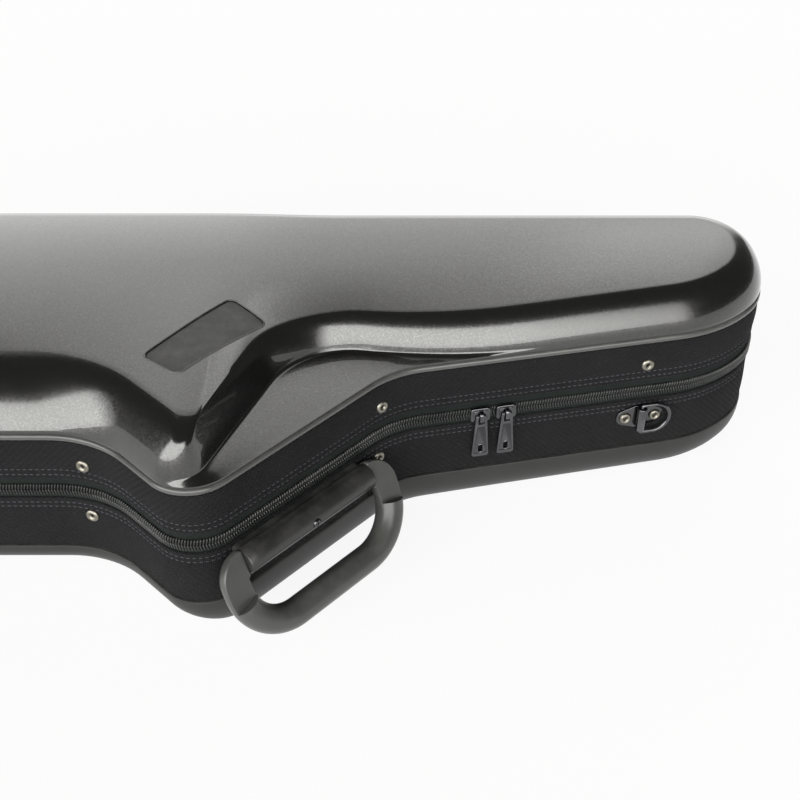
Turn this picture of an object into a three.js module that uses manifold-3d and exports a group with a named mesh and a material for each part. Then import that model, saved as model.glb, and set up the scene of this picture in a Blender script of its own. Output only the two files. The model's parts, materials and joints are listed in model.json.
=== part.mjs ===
// Contoured alto saxophone case: composite lid and pan, fabric side bands, zip, side handle and strap rings.
// Millimetres, +Z up. The case lies flat, +X is its narrow neck end and -Y is its zip and handle side.
import * as THREE from 'three';
import { mergeVertices } from 'three/addons/utils/BufferGeometryUtils.js';
import Module from 'manifold-3d';

const wasm = await Module();
wasm.setup();

const degrees = Math.PI / 180;

// Outline of the closed case, seen from above
const LENGTH = 675;
const WIDTH = 280;
const BOW_WIDTH = 231;
const BOW_BACK_RADIUS = 85;
const BOW_FRONT_RADIUS = 85;
const SHOULDER_START = 231;
const SHOULDER_RADIUS = 70;
const NOSE_START = 295;
const NOSE_TIP_BEYOND = 15;
const NOSE_RADIUS = 31;
const WAIST_START = 414;
const WAIST_WIDTH = 166;
const WAIST_RADIUS = 65;
const FLARE_END = 485;
const FLARE_END_WIDTH = 151;
const FLARE_END_RADIUS = 400;
const NECK_WIDTH = 119;
const NECK_CORNER_SETBACK = 40;
const NECK_CORNER_RADIUS = 100;
const END_WIDTH = 79;
const END_CORNER_RADIUS = 64;
const BACK_CORNER_RADIUS = 50;

// Heights
const PAN_HEIGHT = 35;
const LOWER_BAND_HEIGHT = 48.6;
const UPPER_BAND_HEIGHT = 41.9;
const LID_RISE = 33;
const CROWN_AT_BOW = 6;
const CROWN_AT_NECK = 2.8;
const SPINE_FROM_BOW = 105;
const SPINE_FROM_NECK = 65;
const SPINE_FROM_BACK_AT_BOW = 112;
const SPINE_FROM_BACK_AT_NECK = 68;

// The roll along each side of the lid: its radius, its slope at the foot and at the crest in degrees,
// and how far the crest lies below the highest one
const LID_ROLLS = {
  bow: 50, front: 50, shoulder: 34, diagonal: 41, flare: 29, neck: 20, corner: 24, end: 27, back: 30,
};
const LID_FOOT_SLOPES = {
  bow: 70, front: 70, shoulder: 78, diagonal: 70, flare: 70, neck: 88, corner: 88, end: 88, back: 88,
};
const LID_CREST_SLOPES = {
  bow: 9, front: 9, shoulder: 9, diagonal: 11, flare: 17, neck: 9, corner: 9, end: 9, back: 9,
};
const LID_SINKS = {
  bow: 0, front: 0, shoulder: 0, diagonal: 3, flare: 8, neck: 0, corner: 0, end: 0, back: 0,
};

// The near flat ledge between the rim and the lid's bulge: the waist corner of the bulge's foot, and where
// that foot meets the rim again
const LEDGE_START = 353;
const LEDGE_WIDTH = 148;
const LEDGE_END = 454;
const LEDGE_RISE = 4;
const LEDGE_REACH = 14;

// How far each side of the pan curves under, and how steeply it starts
const PAN_ROLLS = {
  bow: 50, front: 50, shoulder: 45, diagonal: 22, flare: 30, neck: 40, corner: 40, end: 40, back: 40,
};
const PAN_TURNS = {
  bow: 18, front: 18, shoulder: 20, diagonal: 31, flare: 31, neck: 31, corner: 31, end: 31, back: 31,
};
const PAN_LIP = 2.5;
const PAN_LEAST_RADIUS = 12;

// Walls and clearances
const GAP = 0.3;
const PAN_WALL = 3;
const LID_WALL = 3;
const LID_INSET = 0.6;
const SKIRT_WALL = 2.5;
const SKIRT_REACH = 28;
const PAN_SKIRT_DROP = 6.6;
const BAND_WALL = 4;
const BAND_INSET = 1;
const CUT_OVERRUN = 2;
const LEAST_RADIUS = 3;

// Rim bead and the groove above it
const BEAD_HEIGHT = 4.4;
const BEAD_ROUND = 1.7;
const GROOVE_HEIGHT = 2;
const GROOVE_DEPTH = 1.6;

// Zip
const TAPE_REACH = 7;
const TAPE_THICKNESS = 1;
const TAPE_INSET = 2.4;
const BAND_LIP = 1.4;
const COIL_HEIGHT = 3.7;
const COIL_DEPTH = 2;
const COIL_INSET = 0.1;
const COIL_ROUND = 0.6;
const ZIP_PARTING = 0.3;
const HINGE_LENGTH = 320;
const HINGE_THICKNESS = 2.2;
const ZIP_TAB_LENGTH = 16;
const ZIP_TAB_HEIGHT = 9;
const ZIP_TAB_THICKNESS = 1.4;
const ZIP_TAB_DROP = 1.2;

// Bare label plate in its recess
const LABEL_LENGTH = 78;
const LABEL_WIDTH = 30.5;
const LABEL_CORNER = 5;
const LABEL_DEPTH = 1.9;
const LABEL_THICKNESS = 1.1;
const LABEL_FROM_BOW = 297;
const LABEL_FROM_BACK = 177.5;
const LABEL_TURN = 52.4;

// Handle
const HANDLE_TUBE = 17;
const HANDLE_TUBE_BACK = 4.5;
const HANDLE_LENGTH = 108;
const HANDLE_STANDOFF = 9.8;
const HANDLE_DROOP = 66;
const HANDLE_FROM_FLOOR = 68;
const HANDLE_FROM_WAIST = 90.2;
const HANDLE_REACH = 50;
const HANDLE_GRIP = 19;
const HANDLE_GRIP_CORNER = 34;
const HANDLE_ELBOW = 10.5;
const HANDLE_END_GAP = 0.5;
const HANDLE_LUG_REACH = 24;
const HANDLE_FLAT = 3.2;
const HANDLE_SPIGOT = 5;
const HANDLE_SPIGOT_REACH = 8.5;
const HANDLE_SEAT_WIDTH = 13;
const SCREW_HEAD = 6;
const SCREW_HEAD_HEIGHT = 1.8;
const SCREW_SINK = 1.2;
const SCREW_SHANK = 3;
const BACKING_LENGTH = 92;
const BACKING_WIDTH = 18;
const BACKING_THICKNESS = 2;

// Strap rings and rivets
const RING_WIRE = 3;
const RING_HEIGHT = 23;
const RING_REACH = 20.5;
const RING_FROM_END = 89.7;
const RING_FROM_BOW = 125;
const RING_BELOW_ZIP = 21;
const PLATE_SPACING = 21.5;
const PLATE_LOBE = 13;
const PLATE_HEIGHT = 18.5;
const PLATE_THICKNESS = 1.5;
const KNUCKLE = 6.8;
const KNUCKLE_HEIGHT = 19;
const RIVET_HEAD = 8.6;
const RIVET_RISE = 2;
const RIVET_GAP = 0.5;
const RIVET_SHANK = 4;
const RIVET_SET = 7;
const RIVET_SET_HEIGHT = 1.2;
const UPPER_RIVET_DROP = 19.7;
const LOWER_RIVET_DROP = 19;
const FRONT_RIVET_FROM_BOW = 223;
const UPPER_RIVET_FROM_WAIST = 8;
const LOWER_RIVET_FROM_WAIST = 10.5;
const FRONT_RIVET_FROM_NECK = 88.5;
const BACK_RIVET_FROM_ENDS = 110;

// Sliders and pulls
const SLIDER_LENGTH = 14;
const SLIDER_HEIGHT = 11;
const SLIDER_CORNER = 2.5;
const SLIDER_THICKNESS = 2;
const SLIDER_LEFT_FROM_NECK = 203;
const SLIDER_SPACING = 17.5;
const BRIDGE_HEIGHT = 8;
const BRIDGE_RISE = 4.6;
const BRIDGE_BAR = 1.2;
const BRIDGE_WIDTH = 3;
const PULL_LENGTH = 35;
const PULL_WIDTH = 12;
const PULL_TOP_WIDTH = 8;
const PULL_THICKNESS = 1.6;
const PULL_CORNER = 2;
const PULL_CROSSBAR = 2.2;
const PULL_SLOT_HEIGHT = 5;
const PULL_SLOT_WIDTH = 4.4;
const PULL_HOLE_WIDTH = 4;
const PULL_HOLE_HEIGHT = 7;

// Inside: padded block in the pan, lining in the lid
const INSERT_GAP = 2.2;
const INSERT_DROP = 2.5;
const INSERT_BASE = 0.6;
const LINING = 9;
const NECK_CAVITY_FROM_END = 38;
const BODY_AT_BOW = { fromBow: 88, fromBack: 72, radius: 51 };
const BODY_AT_NECK = { fromBow: LENGTH - NECK_CAVITY_FROM_END, fromBack: 54, radius: 31 };
const BELL_AT_BOW = { fromBow: 88, fromBack: 170, radius: 41 };
const BELL_THROAT = { fromBow: 243, fromBack: 181, radius: 47 };
const BELL_MOUTH = { fromBow: 315, fromBack: 196, radius: 61 };
const MOUTHPIECE_POCKET = { fromBow: 493, fromBack: 119, length: 90, width: 29, depth: 42, corner: 8 };
const ACCESSORY_POCKET = { fromBow: 379, fromBack: 133, length: 58, width: 42, depth: 48, corner: 9 };

// Facets
const CORNER_STEPS = [6, 6, 4, 6, 5, 2, 3, 4, 4];
const ROUND_STEPS = 16;
const BORE_STEPS = 10;
const GRIP_STEPS = 10;
const RIVET_STEPS = 9;
const BEND_STEPS = 6;

const zipLevel = PAN_HEIGHT + LOWER_BAND_HEIGHT;
const rimLevel = zipLevel + UPPER_BAND_HEIGHT;
const domeLevel = rimLevel + BEAD_HEIGHT / 2 + GAP + GROOVE_HEIGHT;
const bowEnd = -LENGTH / 2;
const neckEnd = LENGTH / 2;
const back = WIDTH / 2;
const skirtOuter = BAND_INSET + BAND_WALL + GAP;
const skirtInner = skirtOuter + SKIRT_WALL;
const insertInset = skirtInner + INSERT_GAP;
const insertTop = zipLevel - INSERT_DROP;
const up = new THREE.Vector3(0, 0, 1);

const edgeNames = ['bow', 'front', 'shoulder', 'diagonal', 'flare', 'neck', 'corner', 'end', 'back'];
const ledgeShift = new THREE.Vector2(LEDGE_START - WAIST_START, WAIST_WIDTH - LEDGE_WIDTH);
const ledgeEndShift = new THREE.Vector2(WAIST_START - FLARE_END, FLARE_END_WIDTH - WAIST_WIDTH)
  .multiplyScalar((FLARE_END - LEDGE_END) / (FLARE_END - WAIST_START));
const outlineCorners = [
  { x: bowEnd, y: back, radius: BOW_BACK_RADIUS },
  { x: bowEnd, y: back - BOW_WIDTH, radius: BOW_FRONT_RADIUS },
  { x: bowEnd + SHOULDER_START, y: back - BOW_WIDTH, radius: SHOULDER_RADIUS },
  { x: bowEnd + NOSE_START, y: -back - NOSE_TIP_BEYOND, radius: NOSE_RADIUS },
  { x: bowEnd + WAIST_START, y: back - WAIST_WIDTH, radius: WAIST_RADIUS, shift: ledgeShift },
  { x: bowEnd + FLARE_END, y: back - FLARE_END_WIDTH, radius: FLARE_END_RADIUS, shift: ledgeEndShift },
  { x: neckEnd - NECK_CORNER_SETBACK, y: back - NECK_WIDTH, radius: NECK_CORNER_RADIUS },
  { x: neckEnd, y: back - END_WIDTH, radius: END_CORNER_RADIUS },
  { x: neckEnd, y: back, radius: BACK_CORNER_RADIUS },
];

const finishes = {
  paint: finish(0x3b3c39, 0.22, 0.6),
  pan: finish(0x3f3f3d, 0.5, 0.1),
  label: finish(0x4a4b4a, 0.6, 0.1),
  bead: finish(0x4c4c49, 0.3, 0.2),
  fabric: finish(0x26262a, 0.95, 0),
  tape: finish(0x1c2422, 0.9, 0),
  coil: finish(0x464c47, 0.5, 0.2),
  handle: finish(0x2b2b2b, 0.45, 0),
  rubber: finish(0x1a1a1a, 0.85, 0),
  nickel: finish(0x1d1d1f, 0.2, 0.95),
  rivet: finish(0x9a9482, 0.35, 0.9),
  steel: finish(0x8d8f92, 0.35, 0.9),
  plush: finish(0x202024, 1, 0),
};

function finish(color, roughness, metalness) {
  return new THREE.MeshStandardMaterial({ color, roughness, metalness });
}

function piece(name, geometry, material) {
  const mesh = new THREE.Mesh(geometry, material);
  mesh.name = name;
  return mesh;
}

// Solids and cuts

function toSolid(geometry) {
  const bare = geometry.clone();
  bare.deleteAttribute('normal');
  bare.deleteAttribute('uv');
  const merged = mergeVertices(bare);
  const mesh = new wasm.Mesh({
    numProp: 3,
    vertProperties: new Float32Array(merged.attributes.position.array),
    triVerts: new Uint32Array(merged.index.array),
  });
  return new wasm.Manifold(mesh);
}

function toGeometry(solid) {
  const mesh = solid.getMesh();
  const geometry = new THREE.BufferGeometry();
  geometry.setAttribute('position', new THREE.BufferAttribute(new Float32Array(mesh.vertProperties), 3));
  geometry.setIndex(new THREE.BufferAttribute(new Uint32Array(mesh.triVerts), 1));
  geometry.computeVertexNormals();
  return geometry;
}

function cut(geometry, tools) {
  const solid = tools.reduce((left, tool) => left.subtract(toSolid(tool)), toSolid(geometry));
  return toGeometry(solid);
}

function join(geometries) {
  return toGeometry(geometries.map(toSolid).reduce((left, right) => left.add(right)));
}

function orientedGeometry(points, triangles) {
  const volume = triangles.reduce((sum, [a, b, c]) => (
    sum + points[a].dot(points[b].clone().cross(points[c]))), 0);
  const geometry = new THREE.BufferGeometry().setFromPoints(points);
  geometry.setIndex(triangles.flatMap(([a, b, c]) => (volume > 0 ? [a, b, c] : [a, c, b])));
  geometry.computeVertexNormals();
  return geometry;
}

// A skin over rings of equally many points; wrapRings closes last to first, wrapPoints closes each ring.
// Each four-sided face is split along its shorter diagonal, so two skins over the same rings match.
function skin(rings, { wrapRings = false, wrapPoints = true } = {}) {
  const size = rings[0].length;
  const points = rings.flat();
  const triangles = [];
  const lastRing = wrapRings ? rings.length : rings.length - 1;
  const lastPoint = wrapPoints ? size : size - 1;
  for (let j = 0; j < lastRing; j += 1) {
    for (let i = 0; i < lastPoint; i += 1) {
      const a = j * size + i;
      const b = j * size + ((i + 1) % size);
      const c = ((j + 1) % rings.length) * size + ((i + 1) % size);
      const d = ((j + 1) % rings.length) * size + i;
      const straight = points[a].distanceTo(points[c]) < points[b].distanceTo(points[d]);
      triangles.push(...(straight ? [[a, b, c], [a, c, d]] : [[a, b, d], [b, c, d]]));
    }
  }
  return { points, triangles, size };
}

// Rings stacked from one flat end to the other, both ends filled
function stackedSolid(rings) {
  const { points, triangles, size } = skin(rings);
  const flat = (ring) => ring.map((p) => new THREE.Vector2(p.x, p.y));
  const endFaces = (ring) => THREE.ShapeUtils.triangulateShape(flat(ring), []);
  endFaces(rings[0]).forEach(([a, b, c]) => triangles.push([a, c, b]));
  const offset = (rings.length - 1) * size;
  endFaces(rings.at(-1)).forEach(([a, b, c]) => triangles.push([offset + a, offset + b, offset + c]));
  return orientedGeometry(points, triangles);
}

// A section carried all the way round the case
function hoopSolid(rings) {
  const { points, triangles } = skin(rings, { wrapRings: true });
  return orientedGeometry(points, triangles);
}

// A convex section carried along an open path, with filled ends
function stripSolid(paths) {
  const { points, triangles, size } = skin(paths, { wrapRings: true, wrapPoints: false });
  for (let j = 1; j < paths.length - 1; j += 1) {
    triangles.push([0, j * size, (j + 1) * size]);
    triangles.push([size - 1, (j + 2) * size - 1, (j + 1) * size - 1]);
  }
  return orientedGeometry(points, triangles);
}

// Convex sections along a path of stations, with filled ends
function barSolid(sections) {
  const { points, triangles, size } = skin(sections);
  const offset = (sections.length - 1) * size;
  for (let i = 1; i < size - 1; i += 1) {
    triangles.push([0, i + 1, i]);
    triangles.push([offset, offset + i, offset + i + 1]);
  }
  return orientedGeometry(points, triangles);
}

// The outline at an inset

function perEdge(value) {
  return edgeNames.map((name) => (typeof value === 'number' ? value : value[name]));
}

function eachEdge(values, change) {
  return Object.fromEntries(edgeNames.map((name) => [name, change(values[name], name)]));
}

function inwardNormal(from, to) {
  const along = new THREE.Vector2(to.x - from.x, to.y - from.y).normalize();
  return new THREE.Vector2(-along.y, along.x);
}

const straightTurn = 0.05;
const tangentShare = 0.96;
const leastTurn = 2 * degrees;

// Each side of the outline moved in by its own inset, and the ledge's corners by a share of their shift
function insetCorners(insets, shifted) {
  const count = outlineCorners.length;
  return outlineCorners.map((corner, i) => {
    const before = (i + count - 1) % count;
    const first = inwardNormal(outlineCorners[before], corner);
    const second = inwardNormal(corner, outlineCorners[(i + 1) % count]);
    const turn = first.cross(second);
    const place = new THREE.Vector2(corner.x, corner.y);
    const straight = Math.abs(turn) < straightTurn;
    if (straight) {
      place.addScaledVector(first, (insets[before] + insets[i]) / 2);
    } else {
      place.x += (insets[before] * second.y - insets[i] * first.y) / turn;
      place.y += (insets[i] * first.x - insets[before] * second.x) / turn;
    }
    if (corner.shift) place.addScaledVector(corner.shift, shifted);
    const meanInset = (insets[before] + insets[i]) / 2;
    return { place, radius: corner.radius, meanInset, convex: turn > 0, shift: corner.shift };
  });
}

// Length of each corner's tangents, shortened where two would meet on one side
function cornerTangents(corners, leastRadius, shifted) {
  const count = corners.length;
  const wanted = corners.map((corner, i) => {
    const toBefore = corners[(i + count - 1) % count].place.clone().sub(corner.place);
    const toAfter = corners[(i + 1) % count].place.clone().sub(corner.place);
    const half = (Math.PI - toBefore.angleTo(toAfter)) / 2;
    const radius = corner.convex
      ? Math.max(leastRadius, corner.radius - corner.meanInset)
      : corner.radius + corner.meanInset;
    const extra = corner.shift ? LEDGE_REACH * shifted : 0;
    return Math.max(radius * Math.tan(half), corner.radius * Math.tan(leastTurn)) + extra;
  });
  const room = corners.map((corner, i) => {
    const next = (i + 1) % count;
    const side = corner.place.distanceTo(corners[next].place);
    return Math.min(1, tangentShare * side / (wanted[i] + wanted[next]));
  });
  return wanted.map((tangent, i) => tangent * Math.min(room[i], room[(i + count - 1) % count]));
}

// Points round one corner: a weighted quadratic curve is a true arc between equal tangents
function cornerPoints(corner, before, after, tangent, steps) {
  const toBefore = before.clone().sub(corner).normalize();
  const toAfter = after.clone().sub(corner).normalize();
  const weight = Math.cos((Math.PI - toBefore.angleTo(toAfter)) / 2);
  const start = corner.clone().addScaledVector(toBefore, tangent);
  const end = corner.clone().addScaledVector(toAfter, tangent);
  return Array.from({ length: steps + 1 }, (_, k) => {
    const t = k / steps;
    const shares = [(1 - t) ** 2, 2 * t * (1 - t) * weight, t ** 2];
    const total = shares[0] + shares[1] + shares[2];
    return new THREE.Vector2()
      .addScaledVector(start, shares[0] / total)
      .addScaledVector(corner, shares[1] / total)
      .addScaledVector(end, shares[2] / total);
  });
}

// One ring of the case at its insets and levels; the last two points mark the ends of the back hinge
function ring({ inset, level, shifted = 0, leastRadius = LEAST_RADIUS }) {
  const insets = perEdge(inset);
  const levels = perEdge(level);
  const corners = insetCorners(insets, shifted);
  const tangents = cornerTangents(corners, leastRadius, shifted);
  const count = corners.length;
  const points = corners.flatMap((corner, i) => {
    const before = (i + count - 1) % count;
    const after = (i + 1) % count;
    const steps = CORNER_STEPS[i];
    return cornerPoints(corner.place, corners[before].place, corners[after].place, tangents[i], steps)
      .map((p, k) => new THREE.Vector3(p.x, p.y, THREE.MathUtils.lerp(levels[before], levels[i], k / steps)));
  });
  const last = count - 1;
  const hingeEnds = [1, -1].map((side) => (
    new THREE.Vector3(side * HINGE_LENGTH / 2, back - insets[last], levels[last])));
  return [...points, ...hingeEnds];
}

// The ring opened at the back hinge, from its bow end round the front to its neck end
function zipPath(insetAt, level) {
  const whole = ring({ inset: insetAt, level });
  return [whole.at(-1), ...whole.slice(0, -1)];
}

// Where a fitting sits on the outline: x along the outline, y up, z outwards
function sideFrame(fromBow, side, inset, level) {
  const x = bowEnd + fromBow;
  const points = ring({ inset, level });
  const crossings = points.map((p, i) => [p, points[(i + 1) % points.length]])
    .filter(([a, b]) => (a.x - x) * (b.x - x) <= 0 && a.x !== b.x)
    .map(([a, b]) => ({ a, b, at: a.clone().lerp(b, (x - a.x) / (b.x - a.x)) }))
    .sort((p, q) => (p.at.y - q.at.y) * side);
  const { a, b, at } = crossings.at(-1);
  return outwardFrame(at, b.clone().sub(a).setZ(0).normalize());
}

function outwardFrame(at, along) {
  const holder = new THREE.Group();
  holder.position.copy(at);
  holder.quaternion.setFromRotationMatrix(new THREE.Matrix4().makeBasis(along, up, along.clone().cross(up)));
  holder.updateMatrix();
  return holder;
}

const FRONT = -1;
const BACK = 1;

// Sections

function circleSection(radius, steps, place) {
  return Array.from({ length: steps }, (_, i) => {
    const angle = 2 * Math.PI * i / steps;
    return place(radius * Math.cos(angle), radius * Math.sin(angle));
  });
}

// A round bar along stations of a flat path: each has its point and its direction in the plane
function flatPathBar(stations, radius, steps) {
  return stations.map(({ at, along }) => circleSection(radius, steps, (across, out) => (
    new THREE.Vector3(at.x - along.y * across, at.y + along.x * across, out))));
}

function arcStations(centre, radius, from, to, steps) {
  const sense = Math.sign(to - from);
  return Array.from({ length: steps + 1 }, (_, k) => {
    const angle = (from + (to - from) * k / steps) * degrees;
    const at = new THREE.Vector2(centre.x + radius * Math.cos(angle), centre.y + radius * Math.sin(angle));
    const along = new THREE.Vector2(-Math.sin(angle), Math.cos(angle)).multiplyScalar(sense);
    return { at, along };
  });
}

function roundedRectangle(width, height, corner, bottomWidth = width) {
  const shape = new THREE.Shape();
  const half = { top: width / 2, bottom: bottomWidth / 2, height: height / 2 };
  shape.moveTo(-half.bottom + corner, -half.height);
  shape.lineTo(half.bottom - corner, -half.height);
  shape.quadraticCurveTo(half.bottom, -half.height, half.bottom, -half.height + corner);
  shape.lineTo(half.top, half.height - corner);
  shape.quadraticCurveTo(half.top, half.height, half.top - corner, half.height);
  shape.lineTo(-half.top + corner, half.height);
  shape.quadraticCurveTo(-half.top, half.height, -half.top, half.height - corner);
  shape.lineTo(-half.bottom, -half.height + corner);
  shape.quadraticCurveTo(-half.bottom, -half.height, -half.bottom + corner, -half.height);
  return shape;
}

function plate(shape, thickness, lift = 0) {
  return new THREE.ExtrudeGeometry(shape, { depth: thickness, bevelEnabled: false, curveSegments: 3 })
    .translate(0, 0, lift);
}

function rod(radius, length, steps = ROUND_STEPS) {
  return new THREE.CylinderGeometry(radius, radius, length, steps);
}

// A rod along z from one height to another
function post(radius, from, to, steps = ROUND_STEPS) {
  return rod(radius, to - from, steps).rotateX(90 * degrees).translate(0, 0, (from + to) / 2);
}

function turned(profile, steps = ROUND_STEPS) {
  const points = profile.map(([r, z]) => new THREE.Vector2(r, z));
  return new THREE.LatheGeometry(points, steps).rotateX(90 * degrees);
}

// Lid

const ledgeShare = LEDGE_RISE / LID_RISE;
const hollowLedgeShare = (LEDGE_RISE - LID_WALL) / (LID_RISE - LID_WALL);
const riseShares = [0, ledgeShare, 0.24, 0.4, 0.58, 0.76, 0.9, 1];
const hollowShares = [0, hollowLedgeShare, 0.2, 0.32, 0.45, 0.7, 0.9, 1];
const liningShares = [0, 0.5, 1];
const crownShares = [0.3, 0.62, 0.88];

// How far a side's roll has turned in at a share of its height, as a share of its radius
function rollBend(share, side) {
  const foot = LID_FOOT_SLOPES[side] * degrees;
  const crest = LID_CREST_SLOPES[side] * degrees;
  const slope = Math.acos(THREE.MathUtils.lerp(Math.cos(foot), Math.cos(crest), share));
  return Math.sin(foot) - Math.sin(slope);
}

// A ring of the lid's roll, wall below its outer face and nowhere nearer the outline than least
function rollRing(share, wall, least) {
  const height = (LID_RISE - wall) * share;
  const insets = eachEdge(LID_ROLLS, (roll, side) => LID_INSET + wall + roll * rollBend(share, side));
  return ring({
    inset: eachEdge(insets, (inset) => Math.max(least, inset)),
    level: eachEdge(LID_SINKS, (sink) => domeLevel + height - sink * share),
    shifted: Math.min(1, (height + wall) / LEDGE_RISE),
  });
}

// The point of the spine beside a point, and how far the crown rises there
function spineBeside(point) {
  const start = bowEnd + SPINE_FROM_BOW;
  const end = neckEnd - SPINE_FROM_NECK;
  const share = THREE.MathUtils.clamp((point.x - start) / (end - start), 0, 1);
  const fromBack = THREE.MathUtils.lerp(SPINE_FROM_BACK_AT_BOW, SPINE_FROM_BACK_AT_NECK, share);
  const place = new THREE.Vector3(THREE.MathUtils.lerp(start, end, share), back - fromBack, point.z);
  return { place, crown: THREE.MathUtils.lerp(CROWN_AT_BOW, CROWN_AT_NECK, share) };
}

// The lid's top rises gently from the end of the roll towards its spine, and makes up for a sunk side
function crownRing(edge, share) {
  const level = Math.max(...edge.map((point) => point.z));
  return edge.map((point) => {
    const { place, crown } = spineBeside(point);
    const rise = crown * (2 * share - share ** 2) + (level - point.z) * share;
    return point.clone().lerp(place, share).setZ(point.z + rise);
  });
}

function lidSurface(wall, least, rollShares) {
  const rolls = rollShares.map((share) => rollRing(share, wall, least));
  return [...rolls, ...crownShares.map((share) => crownRing(rolls.at(-1), share))];
}

function flatRing(inset, level) {
  return ring({ inset, level });
}

function lidShell() {
  const grooveLevel = domeLevel - GROOVE_HEIGHT;
  const skirtEnd = rimLevel - SKIRT_REACH;
  const inner = [flatRing(skirtInner, skirtEnd), flatRing(skirtInner, grooveLevel - SKIRT_WALL),
    ...lidSurface(LID_WALL, insertInset - GAP, hollowShares)];
  const outer = [flatRing(skirtOuter, skirtEnd), flatRing(skirtOuter, grooveLevel),
    flatRing(GROOVE_DEPTH, grooveLevel), flatRing(GROOVE_DEPTH, domeLevel),
    ...lidSurface(0, 0, riseShares)];
  return stackedSolid([...inner.reverse(), ...outer]);
}

// An upright block of the label's outline, from the lid's foot to above its crown
function labelBlock(clearance) {
  const length = LABEL_LENGTH - 2 * clearance;
  const width = LABEL_WIDTH - 2 * clearance;
  const height = 2 * LID_RISE;
  return plate(roundedRectangle(length, width, LABEL_CORNER - clearance), height)
    .rotateZ(LABEL_TURN * degrees)
    .translate(bowEnd + LABEL_FROM_BOW, back - LABEL_FROM_BACK, domeLevel);
}

// What of such a block lies above the lid's face lowered by a depth
function labelAbove(clearance, depth) {
  const face = stackedSolid(lidSurface(0, 0, riseShares)).translate(0, 0, -depth);
  return cut(labelBlock(clearance), [face]);
}

// The label follows the lid's face, with a gap all round and under it
function labelPlate() {
  const bottom = LABEL_DEPTH - GAP;
  return cut(labelAbove(GAP, bottom), [labelAbove(0, bottom - LABEL_THICKNESS)]);
}

// The lining follows the lid's hollow, one clearance below it
function lidInsert() {
  const end = flatRing(insertInset, zipLevel + INSERT_DROP + GAP);
  const ledge = flatRing(insertInset, domeLevel - GROOVE_HEIGHT - SKIRT_WALL);
  const outer = [end, ledge, ...lidSurface(LID_WALL + GAP, insertInset, hollowShares)];
  const hollow = insertInset + LINING;
  const inner = [flatRing(hollow, end[0].z), flatRing(hollow, ledge[0].z - LINING),
    ...lidSurface(LID_WALL + LINING, hollow, liningShares)];
  return stackedSolid([...inner.reverse(), ...outer]).translate(0, 0, -GAP);
}

const beadShares = { inset: 0.3, rise: 0.72 };

function rimBead() {
  const half = BEAD_HEIGHT / 2;
  const inner = skirtOuter - GAP;
  const shoulder = { inset: BEAD_ROUND * beadShares.inset, rise: half * beadShares.rise };
  const section = [[inner, -half], [BEAD_ROUND, -half], [shoulder.inset, -shoulder.rise], [0, 0],
    [shoulder.inset, shoulder.rise], [BEAD_ROUND, half], [inner, half]];
  return hoopSolid(section.map(([inset, rise]) => flatRing(inset, rimLevel + rise)));
}

// Bands, tapes and coils: side is 1 above the zip and -1 below it

function band(side, far) {
  const outer = BAND_INSET;
  const inner = BAND_INSET + BAND_WALL;
  const ledge = TAPE_INSET + TAPE_THICKNESS + GAP;
  const section = [[outer, far], [outer, zipLevel + side * TAPE_REACH], [ledge, zipLevel + side * TAPE_REACH],
    [ledge, zipLevel + side * BAND_LIP], [inner, zipLevel + side * BAND_LIP], [inner, far]];
  return hoopSolid(section.map(([inset, level]) => flatRing(inset, level)));
}

function zipTape(side) {
  const near = zipLevel + side * ZIP_PARTING;
  const far = zipLevel + side * (TAPE_REACH - GAP);
  const outer = TAPE_INSET;
  const inner = TAPE_INSET + TAPE_THICKNESS;
  return stripSolid([zipPath(outer, near), zipPath(outer, far), zipPath(inner, far), zipPath(inner, near)]);
}

function zipCoil(side) {
  const near = zipLevel + side * ZIP_PARTING / 2;
  const far = near + side * COIL_HEIGHT;
  const outer = COIL_INSET;
  const inner = COIL_INSET + COIL_DEPTH;
  return stripSolid([zipPath(outer, near), zipPath(outer, far - side * COIL_ROUND),
    zipPath(outer + COIL_ROUND, far), zipPath(inner, far), zipPath(inner, near)]);
}

function hingeStrip(side) {
  const height = TAPE_REACH - GAP - ZIP_PARTING / 2;
  return new THREE.BoxGeometry(HINGE_LENGTH - 2 * GAP, HINGE_THICKNESS, height)
    .translate(0, back - BAND_INSET - HINGE_THICKNESS / 2, zipLevel + side * (ZIP_PARTING / 2 + height / 2));
}

function zipTab() {
  return plate(roundedRectangle(ZIP_TAB_LENGTH, ZIP_TAB_HEIGHT, GAP), ZIP_TAB_THICKNESS);
}

// Pan

const panShares = [0.16, 0.36, 0.58, 0.8, 1];
const blockShares = [0.36, 0.7, 1];

function panRing(share, wall, least, above = wall) {
  const height = PAN_HEIGHT - PAN_LIP;
  const depths = eachEdge(PAN_TURNS, (turn) => 2 * share * (1 - share) * turn + share ** 2 * height);
  return ring({
    inset: eachEdge(PAN_ROLLS, (roll) => Math.max(least, wall + roll * share ** 2)),
    level: eachEdge(depths, (depth) => above + (height - above) * (1 - depth / height)),
    leastRadius: PAN_LEAST_RADIUS,
  });
}

function panShell() {
  const skirtEnd = zipLevel - PAN_SKIRT_DROP;
  const lip = PAN_HEIGHT - PAN_LIP;
  const inner = [flatRing(skirtInner, skirtEnd), flatRing(skirtInner, lip),
    ...panShares.map((share) => panRing(share, PAN_WALL, skirtInner))];
  const outer = [flatRing(skirtOuter, skirtEnd), flatRing(skirtOuter, PAN_HEIGHT), flatRing(0, PAN_HEIGHT),
    flatRing(0, lip), ...panShares.map((share) => panRing(share, 0, 0))];
  return stackedSolid([...inner.reverse(), ...outer]);
}

// A cavity end as a half-sunk ball, and the tapered trough between two of them
function cavityBall({ fromBow, fromBack, radius }) {
  return new THREE.SphereGeometry(radius, ROUND_STEPS, ROUND_STEPS / 2)
    .rotateX(90 * degrees)
    .translate(bowEnd + fromBow, back - fromBack, insertTop);
}

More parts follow.
